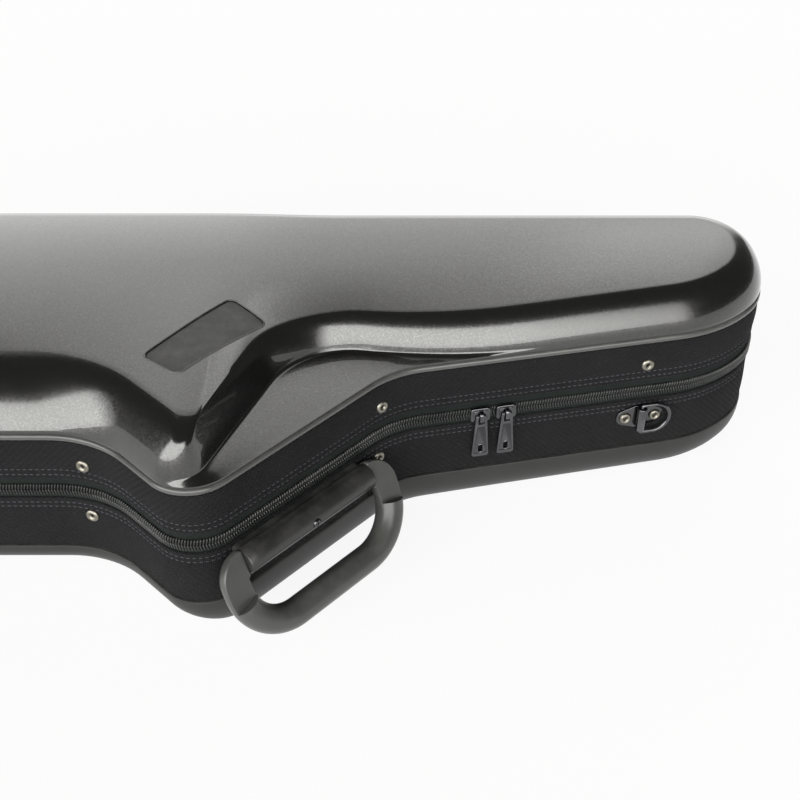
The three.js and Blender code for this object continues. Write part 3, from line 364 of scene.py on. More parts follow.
def next_ring(piece, last, points):
    """Draws the selected ring out once and puts its new corners on the points."""
    bpy.ops.mesh.extrude_edges_move()
    mesh = edit_mesh(piece)
    fresh = []
    for index, point in zip(last, points):
        corner = mesh.verts[index]
        drawn = next(e.other_vert(corner) for e in corner.link_edges if e.other_vert(corner).select)
        drawn.co = point
        fresh.append(drawn.index)
    return mesh, fresh


def lay_cloth(mesh, grid, rings, closed):
    """A UV map in metres: u along the rings and v across them, so that a weave follows the cloth."""
    layer = mesh.loops.layers.uv.verify()
    model = rings[len(rings) // 2]
    count = len(model)
    along, across = [0.0], [0.0]
    for a, b in zip(model, model[1:] + model[:1]):
        along.append(along[-1] + (b - a).length)
    pairs = list(zip(rings, rings[1:]))
    if closed:
        pairs.append((rings[-1], rings[0]))
    for low, high in pairs:
        across.append(across[-1] + sum((b - a).length for a, b in zip(low, high)) / count)
    spots = {index: (j, i) for j, row in enumerate(grid) for i, index in enumerate(row)}
    for face in mesh.faces:
        found = [spots[loop.vert.index] for loop in face.loops]
        round_rows = {j for j, _ in found} == {0, len(grid) - 1} and len(grid) > 2
        round_ring = {i for _, i in found} == {0, count - 1}
        for loop, (j, i) in zip(face.loops, found):
            u = along[count] if round_ring and i == 0 else along[i]
            v = across[len(grid)] if round_rows and j == 0 and closed else across[j]
            loop[layer].uv = (u, v)


def select_rows(piece, *rows):
    """Selects nothing but the edges round each row of corners."""
    bpy.ops.mesh.select_all(action="DESELECT")
    mesh = edit_mesh(piece)
    for row in rows:
        for a, b in zip(row, row[1:] + row[:1]):
            mesh.edges.get((mesh.verts[a], mesh.verts[b])).select_set(True)
    bmesh.update_edit_mesh(piece.data)


def drawn_out(name, rings, closed=False, filled=False, line=False, curved=False):
    """A circle drawn out ring after ring.

    closed bridges the last ring to the first, filled closes both ends, curved splits those ends into triangles,
    and line cuts the rings open between their last and first corners.
    """
    piece, mesh = new_circle(name, rings[0])
    if line:
        ends = {len(rings[0]) - 1, 0}
        seam = next(e for e in mesh.edges if {v.index for v in e.verts} == ends)
        bmesh.ops.delete(mesh, geom=[seam], context="EDGES_FACES")
        bmesh.update_edit_mesh(piece.data)
        bpy.ops.mesh.select_all(action="SELECT")
    grid = [list(range(len(rings[0])))]
    for points in rings[1:]:
        mesh, fresh = next_ring(piece, grid[-1], points)
        grid.append(fresh)
    if closed:
        select_rows(piece, grid[0], grid[-1])
        bpy.ops.mesh.bridge_edge_loops()
        mesh = edit_mesh(piece)
    lay_cloth(mesh, grid, rings, closed)
    if filled:
        for row in (grid[0], grid[-1]):
            select_rows(piece, row)
            bpy.ops.mesh.edge_face_add()
            if curved:
                bpy.ops.mesh.quads_convert_to_tris(quad_method="BEAUTY", ngon_method="BEAUTY")
    bpy.ops.mesh.select_all(action="SELECT")
    if not line:
        bpy.ops.mesh.normals_make_consistent(inside=False)
    bpy.ops.object.mode_set(mode="OBJECT")
    return piece


def modified(piece, kind, **settings):
    """The piece with a modifier added and applied."""
    take(piece)
    modifier = piece.modifiers.new(kind.title(), kind)
    for name, value in settings.items():
        setattr(modifier, name, value)
    bpy.ops.object.modifier_apply(modifier=modifier.name)
    return piece


def cut_by(piece, *tools):
    """The piece less each tool, which is used up."""
    for tool in tools:
        modified(piece, "BOOLEAN", operation="DIFFERENCE", object=tool, solver="EXACT")
        bpy.data.objects.remove(tool)
    return piece


def rounded(piece, width, segments=2, limit=40):
    """The piece with its edges sharper than the limit, in degrees, made round."""
    return modified(
        piece, "BEVEL", width=width, segments=segments, limit_method="ANGLE", angle_limit=math.radians(limit)
    )


def smoothed(piece, angle=38):
    take(piece)
    bpy.ops.object.shade_smooth_by_angle(angle=math.radians(angle))
    return piece


def placed(piece, matrix):
    piece.data.transform(matrix)
    piece.data.update()
    return piece


def slid(piece, x=0, y=0, z=0):
    return placed(piece, Matrix.Translation((x, y, z)))


def joined(name, *parts):
    rest()
    for part in parts:
        part.select_set(True)
    bpy.context.view_layer.objects.active = parts[0]
    bpy.ops.object.join()
    parts[0].name = parts[0].data.name = name
    return parts[0]


def plate(name, outline, low, high):
    """A flat outline filled and raised."""
    piece, _ = new_circle(name, [Vector((x, y, low)) for x, y in outline])
    bpy.ops.mesh.edge_face_add()
    bpy.ops.mesh.extrude_region_move(TRANSFORM_OT_translate={"value": (0, 0, high - low)})
    bpy.ops.mesh.select_all(action="SELECT")
    bpy.ops.mesh.normals_make_consistent(inside=False)
    bpy.ops.object.mode_set(mode="OBJECT")
    return piece


def arc(centre, radius, start, end, steps):
    """Points of an arc, in degrees."""
    points = []
    for k in range(steps + 1):
        angle = math.radians(blend_of(start, end, k / steps))
        points.append((centre[0] + radius * math.cos(angle), centre[1] + radius * math.sin(angle)))
    return points


def rounded_oblong(width, height, corner, bottom=None, steps=6):
    """A rectangle with round corners, wider or narrower at the bottom."""
    top, low, tall = width / 2 - corner, (bottom or width) / 2 - corner, height / 2 - corner
    return [
        *arc((low, -tall), corner, -90, 0, steps),
        *arc((top, tall), corner, 0, 90, steps),
        *arc((-top, tall), corner, 90, 180, steps),
        *arc((-low, -tall), corner, 180, 270, steps),
    ]


def turned(name, profile, steps=32):
    """A profile of radius and height, turned about z."""
    rings = []
    for radius, height in profile:
        rings.append([Vector((x, y, height)) for x, y in arc((0, 0), radius, 0, 360, steps)[:-1]])
    return drawn_out(name, rings, filled=True)


def along_x(piece):
    """Turns a piece modelled up z to lie along x."""
    return placed(piece, Matrix(((0, 0, 1), (1, 0, 0), (0, 1, 0))).to_4x4())


def path_stations(stations, outline):
    """A section carried along a flat path: each station has its place and its direction in the plane."""
    return [
        [Vector((x - dy * across, y + dx * across, out)) for across, out in outline] for (x, y), (dx, dy) in stations
    ]


def arc_stations(centre, radius, start, end, steps):
    """Stations round an arc, in degrees."""
    sense = 1 if end > start else -1
    stations = []
    for k in range(steps + 1):
        angle = math.radians(blend_of(start, end, k / steps))
        at = centre[0] + radius * math.cos(angle), centre[1] + radius * math.sin(angle)
        stations.append((at, (-math.sin(angle) * sense, math.cos(angle) * sense)))
    return stations


def path_length(points, closed):
    pairs = zip(points, points[1:] + points[:1] if closed else points[1:])
    return sum((b - a).length for a, b in pairs)


def repeated_along(piece, points, pitch, closed=False):
    """Copies of a small piece set end to end along a path, which runs with the case on its left."""
    line = bpy.data.curves.new("Run", "CURVE")
    line.dimensions = "3D"
    line.twist_mode = "Z_UP"
    spline = line.splines.new("POLY")
    spline.points.add(len(points) - 1)
    for spot, point in zip(spline.points, points):
        spot.co = (*point, 1)
    spline.use_cyclic_u = closed
    run = bpy.data.objects.new("Run", line)
    bpy.context.scene.collection.objects.link(run)
    length = path_length(points, closed)
    count = int(length / pitch)
    spacing = length / count
    slid(piece, x=spacing / 2)
    modified(piece, "ARRAY", count=count, use_relative_offset=False, use_constant_offset=True,
             constant_offset_displace=(spacing, 0, 0))
    modified(piece, "CURVE", object=run, deform_axis="POS_X")
    bpy.data.objects.remove(run)
    return piece


def dressed(piece, finish, body, slot, *nodes):
    """Gives a piece its finish, the body it rides on and the nodes it stands for; the slot is not used."""
    piece.data.materials.clear()
    piece.data.materials.append(finish)
    if body:
        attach(piece, body)
    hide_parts(*nodes)
    return piece


# Finishes


class Wiring:
    """A node tree while it is being wired."""

    def __init__(self, tree):
        self.tree = tree

    def add(self, kind, feeds=None, **settings):
        """A node with its settings, and its sockets fed by other sockets or set to values."""
        node = self.tree.nodes.new(kind)
        for name, value in settings.items():
            setattr(node, name, value)
        for name, value in (feeds or {}).items():
            if isinstance(value, bpy.types.NodeSocket):
                self.tree.links.new(value, node.inputs[name])
            else:
                node.inputs[name].default_value = value
        return node

    def math(self, operation, *values):
        return self.add("ShaderNodeMath", dict(enumerate(values)), operation=operation).outputs[0]

    def vector(self, operation, *values):
        return self.add("ShaderNodeVectorMath", dict(enumerate(values)), operation=operation).outputs[0]

    def scaled(self, vector, scale):
        return self.add("ShaderNodeVectorMath", {0: vector, "Scale": scale}, operation="SCALE").outputs[0]

    def mixed(self, share, first, second, mode="MIX"):
        node = self.add("ShaderNodeMix", {0: share, 6: first, 7: second}, data_type="RGBA", blend_type=mode)
        return node.outputs[2]

    def ranged(self, value, low, high, to_low=0.0, to_high=1.0):
        feeds = {"Value": value, "From Min": low, "From Max": high, "To Min": to_low, "To Max": to_high}
        return self.add("ShaderNodeMapRange", feeds, clamp=True).outputs[0]

    def noise(self, vector, scale, detail=2.0, roughness=0.5):
        feeds = {"Vector": vector, "Scale": scale, "Detail": detail, "Roughness": roughness}
        return self.add("ShaderNodeTexNoise", feeds).outputs

    def group(self, name, **feeds):
        return self.add("ShaderNodeGroup", feeds, node_tree=bpy.data.node_groups[name]).outputs

    def bump(self, height, distance, strength=1.0):
        return self.add("ShaderNodeBump", {"Height": height, "Distance": distance, "Strength": strength}).outputs[0]


def new_effect(name, takes, gives):
    """A shader node group with named sockets: its wiring, what it takes and where its results go."""
    tree = bpy.data.node_groups.new(name, "ShaderNodeTree")
    for label, kind, default in takes:
        socket = tree.interface.new_socket(name=label, in_out="INPUT", socket_type=kind)
        if default is not None:
            socket.default_value = default
    for label, kind in gives:
        tree.interface.new_socket(name=label, in_out="OUTPUT", socket_type=kind)
    wiring = Wiring(tree)
    start = wiring.add("NodeGroupInput").outputs
    end = wiring.add("NodeGroupOutput").inputs
    return wiring, start, end


VALUE, COLOUR, VECTOR = "NodeSocketFloat", "NodeSocketColor", "NodeSocketVector"


def build_flake():
    """Metal flake: every cell takes its own small tilt and brightness."""
    takes = (("Vector", VECTOR, None), ("Size", VALUE, 0.0003), ("Tilt", VALUE, 0.2),
             ("Base", COLOUR, (0.05, 0.05, 0.05, 1)), ("Glint", COLOUR, (0.4, 0.4, 0.4, 1)), ("Share", VALUE, 0.2))
    wiring, start, end = new_effect("Flake", takes, (("Color", COLOUR), ("Normal", VECTOR)))
    cells = wiring.scaled(start["Vector"], wiring.math("DIVIDE", 1.0, start["Size"]))
    random = wiring.add("ShaderNodeTexVoronoi", {"Vector": cells, "Scale": 1.0}).outputs["Color"]
    centred = wiring.vector("SUBTRACT", random, (0.5, 0.5, 0.5))
    tilted = wiring.scaled(centred, start["Tilt"])
    normal = wiring.add("ShaderNodeNewGeometry").outputs["Normal"]
    leaning = wiring.vector("NORMALIZE", wiring.vector("ADD", normal, tilted))
    chance = wiring.add("ShaderNodeSeparateColor", {"Color": random}).outputs[0]
    brightness = wiring.math("MULTIPLY", wiring.math("POWER", chance, 3.0), start["Share"])
    wiring.tree.links.new(wiring.mixed(brightness, start["Base"], start["Glint"]), end["Color"])
    wiring.tree.links.new(leaning, end["Normal"])


def build_weave():
    """Two-over-two twill from a UV map in metres: its height, and its painted shading, dark in the gaps between
    threads as painted shade and light on their crowns as painted highlight.
    """
    takes = (("UV", VECTOR, None), ("Pitch", VALUE, 0.0008))
    wiring, start, end = new_effect("Twill weave", takes, (("Height", VALUE), ("Painted shading", VALUE)))
    threads = wiring.scaled(start["UV"], wiring.math("DIVIDE", 1.0, start["Pitch"]))
    split = wiring.add("ShaderNodeSeparateXYZ", {0: threads}).outputs
    humps, floors = [], []
    for axis in (0, 1):
        floors.append(wiring.math("FLOOR", split[axis]))
        humps.append(wiring.math("SINE", wiring.math("MULTIPLY", wiring.math("FRACT", split[axis]), math.pi)))
    order = wiring.math("FRACT", wiring.math("MULTIPLY", wiring.math("ADD", *floors), 0.25))
    over = wiring.math("LESS_THAN", order, 0.5)
    under = wiring.math("SUBTRACT", 1.0, over)
    height = wiring.math("ADD", wiring.math("MULTIPLY", humps[0], over), wiring.math("MULTIPLY", humps[1], under))
    rounded_height = wiring.math("POWER", height, 0.6)
    wiring.tree.links.new(rounded_height, end["Height"])
    wiring.tree.links.new(wiring.ranged(rounded_height, 0.0, 0.9), end["Painted shading"])


def build_wear():
    """Wear along convex edges, broken up by noise."""
    takes = (("Vector", VECTOR, None), ("Amount", VALUE, 0.5), ("Breakup", VALUE, 90.0))
    wiring, start, end = new_effect("Edge wear", takes, (("Mask", VALUE),))
    edge = wiring.ranged(wiring.add("ShaderNodeNewGeometry").outputs["Pointiness"], 0.51, 0.58)
    broken = wiring.ranged(wiring.noise(start["Vector"], start["Breakup"], 4.0)["Fac"], 0.35, 0.7)
    wiring.tree.links.new(
        wiring.math("MULTIPLY", wiring.math("MULTIPLY", edge, broken), start["Amount"]), end["Mask"])


def build_dust():
    """Fine dust that settles on faces that look up."""
    takes = (("Vector", VECTOR, None), ("Amount", VALUE, 0.1), ("Scale", VALUE, 60.0))
    wiring, start, end = new_effect("Dust", takes, (("Mask", VALUE),))
    facing = wiring.add("ShaderNodeSeparateXYZ", {0: wiring.add("ShaderNodeNewGeometry").outputs["Normal"]})
    upward = wiring.ranged(facing.outputs["Z"], 0.1, 1.0)
    cloud = wiring.ranged(wiring.noise(start["Vector"], start["Scale"], 6.0, 0.7)["Fac"], 0.4, 0.75)
    wiring.tree.links.new(
        wiring.math("MULTIPLY", wiring.math("MULTIPLY", upward, cloud), start["Amount"]), end["Mask"])


def build_grain():
    """Moulded grain: a fine height and a slow change of tone."""
    takes = (("Vector", VECTOR, None), ("Size", VALUE, 0.0008))
    wiring, start, end = new_effect("Moulded grain", takes, (("Height", VALUE), ("Tone", VALUE)))
    cells = wiring.scaled(start["Vector"], wiring.math("DIVIDE", 1.0, start["Size"]))
    wiring.tree.links.new(wiring.noise(cells, 1.0, 3.0)["Fac"], end["Height"])
    wiring.tree.links.new(wiring.noise(cells, 0.02, 3.0)["Fac"], end["Tone"])


def new_finish(name, **settings):
    """A material, its wiring and its shader, with the uniform values set on the shader itself."""
    material = bpy.data.materials.new(name)
    material.use_nodes = True
    wiring = Wiring(material.node_tree)
    shader = material.node_tree.nodes["Principled BSDF"].inputs
    for label, value in settings.items():
        shader[label.replace("_", " ")].default_value = value
    return material, wiring, shader


def object_space(wiring):
    return wiring.add("ShaderNodeTexCoord").outputs["Object"]


def cloth_space(wiring):
    return wiring.add("ShaderNodeUVMap").outputs["UV"]


def shaded(colour, share):
    return tuple(min(1, channel * share) for channel in colour[:3]) + (1,)


PAINT_DUST = (0.2, 0.2, 0.19, 1)
MOULDED_DUST = (0.32, 0.31, 0.29, 1)
LINT = (0.25, 0.25, 0.24, 1)


def paint_finish(colour):
    """Clear-coated metallic paint."""
    material, wiring, shader = new_finish(
        "Lid paint", Metallic=0.95, Roughness=0.24, Coat_Weight=1.0, Coat_Roughness=0.02, Coat_IOR=1.5)
    space = object_space(wiring)
    flake = wiring.group("Flake", Vector=space, Size=0.0007, Tilt=0.07, Base=(*colour, 1),
                         Glint=shaded(colour, 2.5), Share=0.3)
    dust = wiring.group("Dust", Vector=space, Amount=0.03, Scale=25.0)["Mask"]
    links = wiring.tree.links.new
    links(wiring.mixed(dust, flake["Color"], PAINT_DUST), shader["Base Color"])
    links(flake["Normal"], shader["Normal"])
    return material


def moulded_finish(name, colour, roughness, grain=0.0009, depth=0.00005, wear=0.4, dust=0.15, specular=0.5):
    """Satin moulded plastic or composite."""
    material, wiring, shader = new_finish(name, Specular_IOR_Level=specular)
    space = object_space(wiring)
    grained = wiring.group("Moulded grain", Vector=space, Size=grain)
    tone = wiring.mixed(grained["Tone"], shaded(colour, 0.85), shaded(colour, 1.15))
    worn = wiring.mixed(wiring.group("Edge wear", Vector=space, Amount=wear)["Mask"], tone, shaded(colour, 2.2))
    mask = wiring.group("Dust", Vector=space, Amount=dust)["Mask"]
    links = wiring.tree.links.new
    links(wiring.mixed(mask, worn, MOULDED_DUST), shader["Base Color"])
    links(wiring.ranged(grained["Height"], 0.0, 1.0, roughness * 0.85, roughness * 1.15), shader["Roughness"])
    links(wiring.bump(grained["Height"], depth), shader["Normal"])
    return material


def metal_finish(name, colour, roughness, wear=0.5, tarnish=0.4):
    """Plated metal, brighter where it rubs, dull in patches, and darkened in its hollows as painted shade."""
    material, wiring, shader = new_finish(name, Metallic=1.0)
    space = object_space(wiring)
    patches = wiring.ranged(wiring.noise(space, 700.0, 5.0, 0.6)["Fac"], 0.35, 0.7)
    dulled = wiring.mixed(wiring.math("MULTIPLY", patches, tarnish), (*colour, 1), shaded(colour, 0.4))
    worn = wiring.mixed(wiring.group("Edge wear", Vector=space, Amount=wear)["Mask"], dulled, shaded(colour, 2))
    # Painted shade: hollows, found by their pointiness, darken to 0.12 of the colour.
    hollow_painted_shade = wiring.ranged(wiring.add("ShaderNodeNewGeometry").outputs["Pointiness"], 0.40, 0.49, 0.9, 0.0)
    links = wiring.tree.links.new
    links(wiring.mixed(hollow_painted_shade, worn, shaded(colour, 0.12)), shader["Base Color"])
    links(wiring.ranged(patches, 0.0, 1.0, roughness, roughness * 1.8), shader["Roughness"])
    links(wiring.bump(wiring.noise(space, 2500.0, 3.0)["Fac"], 0.00002, 0.5), shader["Normal"])
    return material


def woven_finish(name, colour, pitch, depth, lint=0.5):
    """Woven cloth, its threads along the piece's own UV map, with a little lint, painted shade in the gaps between
    threads and painted highlight on their crowns.
    """
    material, wiring, shader = new_finish(name, Roughness=0.9, Sheen_Weight=0.02, Sheen_Roughness=0.4,
                                          Specular_IOR_Level=0.12)
    cloth, space = cloth_space(wiring), object_space(wiring)
    woven = wiring.group("Twill weave", UV=cloth, Pitch=pitch)
    drift = wiring.ranged(wiring.noise(space, 35.0, 4.0)["Fac"], 0.3, 0.7)
    slub = wiring.ranged(wiring.noise(cloth, 900.0, 3.0)["Fac"], 0.3, 0.75)
    # Painted shade and highlight: each thread runs from 0.2 of the colour in its gaps to 2.4 times it on its crown.
    thread = wiring.mixed(woven["Painted shading"], shaded(colour, 0.2), shaded(colour, 2.4))
    mottled = wiring.mixed(wiring.math("MULTIPLY", slub, 0.5), thread, shaded(colour, 2.2))
    toned = wiring.mixed(wiring.math("MULTIPLY", drift, 0.25), mottled, shaded(colour, 0.5))
    speck = wiring.ranged(wiring.noise(space, 2200.0, 1.0)["Fac"], 0.74, 0.8)
    links = wiring.tree.links.new
    links(wiring.mixed(wiring.math("MULTIPLY", speck, lint), toned, LINT), shader["Base Color"])
    height = wiring.math("ADD", woven["Height"], wiring.math("MULTIPLY", slub, 0.4))
    links(wiring.bump(height, depth), shader["Normal"])
    return material


def plush_finish(colour):
    """Short pile, lighter where it leans to the light."""
    material, wiring, shader = new_finish("Plush", Roughness=1.0, Sheen_Weight=0.8, Sheen_Roughness=0.35,
                                          Specular_IOR_Level=0.1)
    space = object_space(wiring)
    pile = wiring.noise(space, 1600.0, 3.0, 0.6)["Fac"]
    stroked = wiring.ranged(wiring.noise(space, 30.0, 3.0)["Fac"], 0.35, 0.65)
    tone = wiring.mixed(stroked, shaded(colour, 0.7), shaded(colour, 1.4))
    links = wiring.tree.links.new
    links(wiring.mixed(wiring.math("MULTIPLY", pile, 0.6), tone, shaded(colour, 0.3)), shader["Base Color"])
    links(wiring.bump(pile, 0.0006), shader["Normal"])
    return material


def build_finishes(colours):
    for build in (build_flake, build_weave, build_wear, build_dust, build_grain):
        build()
    return {
        "paint": paint_finish(tuple(colours.paint)),
        "pan": moulded_finish("Pan composite", tuple(colours.pan), 0.42, dust=0.1, specular=0.3),
        "label": moulded_finish("Label plate", tuple(colours.label), 0.5, grain=0.0004),
        "bead": moulded_finish("Rim bead", tuple(colours.bead), 0.17, grain=0.002, depth=0.00001),
        "handle": moulded_finish("Handle plastic", tuple(colours.handle), 0.36, grain=0.0006, depth=0.00003),
        # Painted highlight: the bar's finish is the handle plastic itself made 2.6 times lighter, not another
        # plastic.
        "grip_painted_highlight": moulded_finish("Handle grip", shaded(colours.handle, 2.6)[:3], 0.30, grain=0.0006, depth=0.00003),
        "rubber": moulded_finish("Strip rubber", (0.012, 0.012, 0.012), 0.7),
        "nickel": metal_finish("Black nickel", (0.10, 0.10, 0.104), 0.13, wear=0.8, tarnish=0.2),
        "rivet": metal_finish("Rivet nickel", tuple(colours.rivet), 0.28),
        "steel": metal_finish("Backing steel", (0.42, 0.42, 0.43), 0.35),
        "fabric": woven_finish("Band fabric", tuple(colours.fabric), 0.0012, 0.0004, lint=0.5),
        "tape": woven_finish("Zip tape", tuple(colours.tape), 0.0006, 0.00012, lint=0.2),
        "thread": woven_finish("Stitch thread", (0.034, 0.034, 0.040), 0.0003, 0.00008, lint=0.0),
        "coil": moulded_finish("Zip coil", (0.016, 0.017, 0.016), 0.30, grain=0.001, depth=0.00001, dust=0.3),
        "plush": plush_finish((0.014, 0.014, 0.017)),
    }


# The finishes by name, which main makes before the pieces
finishes = {}


# Sizes and colours that a user would change


def colour_setting(name, description, default):
    return FloatVectorProperty(name=name, description=description, default=default, subtype="COLOR", min=0, max=1)


def length_setting(name, description, default):
    return FloatProperty(name=name, description=description, default=default, unit="LENGTH", min=0, precision=4)


class CaseSizes(bpy.types.PropertyGroup):
    """Sizes of the fabric, the zip and the fittings"""

    bulge: length_setting("Band bulge", "How far the padded bands stand proud", 0.0006)
    upper_hem: length_setting("Upper hem", "Height of the upper band's hem above the zip", 0.0086)
    lower_hem: length_setting("Lower hem", "Depth of the lower band's hem below the zip", 0.0072)
    stitch_pitch: length_setting("Stitch pitch", "Distance from one stitch to the next", 0.0038)
    tooth_pitch: length_setting("Tooth pitch", "Distance from one zip tooth to the next", 0.0019)
    tape_width: length_setting("Tape width", "Width of each zip tape, its hidden part included", 0.0125)
    rivet_head: length_setting("Rivet head", "Width of the rivet heads", 0.0094)
    label_depth: length_setting("Label recess", "Depth of the bare recess on the lid", 0.0019)


class CaseColours(bpy.types.PropertyGroup):
    """Colours of the shells, the fabric and the metal"""

    paint: colour_setting("Lid paint", "Metallic paint of the lid", (0.055, 0.055, 0.053))
    pan: colour_setting("Pan", "Satin composite of the pan", (0.021, 0.021, 0.0205))
    label: colour_setting("Label plate", "Bare plate on the lid", (0.024, 0.024, 0.024))
    bead: colour_setting("Rim bead", "Trim between lid and band", (0.060, 0.060, 0.057))
    handle: colour_setting("Handle", "Handle plastic", (0.02, 0.02, 0.019))
    fabric: colour_setting("Band fabric", "Woven cover of the bands", (0.0055, 0.0055, 0.0059))
    tape: colour_setting("Zip tape", "Woven zip tape", (0.0062, 0.0080, 0.0075))
    rivet: colour_setting("Rivets", "Plated rivets", (0.25, 0.235, 0.20))


# Lid


def roll_bend(share, side):
    """How far a side's roll has turned in at a share of its height, as a share of its radius."""
    foot, crest = math.radians(FOOT_SLOPES[side]), math.radians(CREST_SLOPES[side])
    slope = math.acos(blend_of(math.cos(foot), math.cos(crest), share))
    return math.sin(foot) - math.sin(slope)


def settled(point):
    """Lowers a point of the lid where the lid stands lower over the neck."""
    share = min(1, max(0, (point.x - FALL_START) / (FALL_END - FALL_START)))
    towards = min(1, max(0, (FALL_BACK - point.y) / (FALL_BACK - FALL_FRONT)))
    fall = blend_of(FALL_AT_BACK, FALL_IN_FRONT, towards) * share**2 * (3 - 2 * share)
    return Vector((point.x, point.y, point.z - fall * max(0, point.z - DOME_LEVEL)))


def roll_ring(share, wall, least, shifted=1):
    """A ring of the lid's roll, wall below its outer face and nowhere nearer the outline than least."""
    height = (LID_RISE - wall) * share
    insets = each_edge(lambda side: max(least, LID_INSET + wall + LID_ROLLS[side] * roll_bend(share, side)))
    levels = each_edge(lambda side: DOME_LEVEL + height - SINKS[side] * share)
    return ring(insets, levels, shifted, blend_of(LEAST_RADIUS, CREST_RADIUS, share))


def spine_beside(point):
    """The point of the spine beside a point, and how far the crown rises there."""
    share = min(1, max(0, (point.x - SPINE_START.x) / (SPINE_END.x - SPINE_START.x)))
    return Vector((*SPINE_START.lerp(SPINE_END, share), point.z)), blend_of(CROWN_AT_BOW, CROWN_AT_NECK, share)


def crown_ring(edge, share):
    """The lid's top rises gently from the end of the roll towards its spine, and makes up for a sunk side."""
    level = max(point.z for point in edge)
    points = []
    for point in edge:
        spine, crown = spine_beside(point)
        rise = crown * (2 * share - share**2) + (level - point.z) * math.sin(math.pi / 2 * share)
        points.append(point.lerp(spine, share) + Vector((0, 0, rise)))
    return points


# Where the lid's rings lie: on the even part of the ledge, on its turn, on the roll, and outside and inside the crown
EVEN_STEPS = 6
TURN_SHARES = (0.2, 0.4, 0.6, 0.8, 1)
ROLL_STEPS = 16
CROWN_SHARES = (0.04, 0.1, 0.18, 0.28, 0.39, 0.5, 0.61, 0.71, 0.8, 0.88, 0.94)
INNER_ROLL_SHARES = (0.033, 0.2, 0.32, 0.45, 0.7, 0.9, 1)
INNER_CROWN_SHARES = (0.3, 0.62, 0.88)


def ledge_steps():
    """The climb of the ledge and its turn into the bulge: pairs of how far it is drawn in and its height."""
    evenly = [k * LEDGE_TURN / EVEN_STEPS for k in range(1, EVEN_STEPS + 1)]
    steps = [(share, LEDGE_RISE * share) for share in evenly]
    for share in TURN_SHARES:
        kept, met, gone = (1 - share) ** 2, 2 * share * (1 - share), share**2
        drawn_in = LEDGE_TURN * kept + met + gone
        steps.append((drawn_in, LEDGE_RISE * (LEDGE_TURN * kept + met) + TURN_TOP * gone))
    return steps


def lid_rings():
    """The lid's rings from the middle of its inside, over its skirt and groove, to the middle of its top."""
    groove = DOME_LEVEL - GROOVE_HEIGHT
    skirt_end = RIM_LEVEL - SKIRT_REACH
    inner = [ring(SKIRT_INNER, skirt_end), ring(SKIRT_INNER, groove - SKIRT_WALL)]
    inner += [roll_ring(0, WALL, LINING_FOOT, WALL / LEDGE_RISE)]
    inner += [roll_ring(share, WALL, LINING_FOOT) for share in INNER_ROLL_SHARES]
    inner += [crown_ring(inner[-1], share) for share in INNER_CROWN_SHARES]
    outer = [
        ring(SKIRT_OUTER, skirt_end),
        ring(SKIRT_OUTER, groove),
        ring(GROOVE_DEPTH, groove),
        ring(GROOVE_DEPTH, DOME_LEVEL),
        ring(LID_INSET + LID_EDGE, DOME_LEVEL),
        ring(LID_INSET + LID_EDGE * EDGE_FALL, DOME_LEVEL + LID_EDGE * EDGE_FALL),
    ]
    outer += [roll_ring(height / LID_RISE, 0, 0, shifted) for shifted, height in ledge_steps()]
    for k in range(1, ROLL_STEPS + 1):
        outer.append(roll_ring(blend_of(TURN_TOP / LID_RISE, 1, math.sin(math.pi / 2 * k / ROLL_STEPS)), 0, 0))
    outer += [crown_ring(outer[-1], share) for share in CROWN_SHARES]
    return [[settled(point) for point in points] for points in inner[::-1] + outer]


# The bare label plate in its recess, its middle from the bow end and the back, the rings of its skin as shares of its
# outline, and the rim round it: its wire, how high it stands and how deep its foot lies in the lid
LABEL_LENGTH = 0.078
LABEL_WIDTH = 0.0305
LABEL_CORNER = 0.005
LABEL_PLACE = (0.297, 0.1775)
LABEL_CENTRE = Vector((BOW_END + LABEL_PLACE[0], BACK - LABEL_PLACE[1]))
LABEL_TURN = math.radians(52.4)
LABEL_THICKNESS = 0.0011
LABEL_EDGE = 0.0003
LABEL_SHARES = (0.93, 0.8, 0.65, 0.5, 0.35, 0.2, 0.08)
LABEL_CORNER_STEPS = 8
LABEL_SIDE_STEPS = (6, 18, 6, 18)
LABEL_RIM = 0.0006
LABEL_RIM_RISE = 0.0005
LABEL_RIM_FOOT = 0.0008
LABEL_RIM_STEPS = 6


def on_lid(lid, outline, lift):
    """A flat outline about the label's centre, turned with the label and laid on the lid's face."""
    turn = Matrix.Rotation(LABEL_TURN, 2)
    laid = []
    for x, y in outline:
        spot = LABEL_CENTRE + turn @ Vector((x, y))
        _, place, _, _ = lid.ray_cast((*spot, 2 * DOME_LEVEL), (0, 0, -1))
        laid.append(Vector((*spot, place.z + lift)))
    return laid


def label_outline(clearance):
    """The label's outline moved in, with as many points at every clearance."""
    length, width = LABEL_LENGTH - 2 * clearance, LABEL_WIDTH - 2 * clearance
    corners = rounded_oblong(length, width, LABEL_CORNER - clearance, steps=LABEL_CORNER_STEPS)
    points, each = [], LABEL_CORNER_STEPS + 1
    for side, count in enumerate(LABEL_SIDE_STEPS):
        points += corners[side * each:(side + 1) * each]
        a, b = Vector(points[-1]), Vector(corners[(side + 1) * each % len(corners)])
        points += [tuple(spot) for spot in between(a, b, count)]
    return points


def label_skin(lid, outline, lift):
    """Rings over the lid's face from near the outline to near its middle."""
    return [on_lid(lid, [(x * share, y * share) for x, y in outline], lift) for share in LABEL_SHARES]


def label_edging(lid):
    """A thin round bead on the edge of the recess, its foot sunk in the lid."""
    rings = []
    for x, rise in arc((0, 0), 1, 0, 180, LABEL_RIM_STEPS):
        rings.append(on_lid(lid, label_outline(-LABEL_RIM * (1 + x)), LABEL_RIM_RISE * rise))
    for clearance in (0, -2 * LABEL_RIM):
        rings.append(on_lid(lid, label_outline(clearance), -LABEL_RIM_FOOT))
    return drawn_out("label_rim", rings, closed=True)


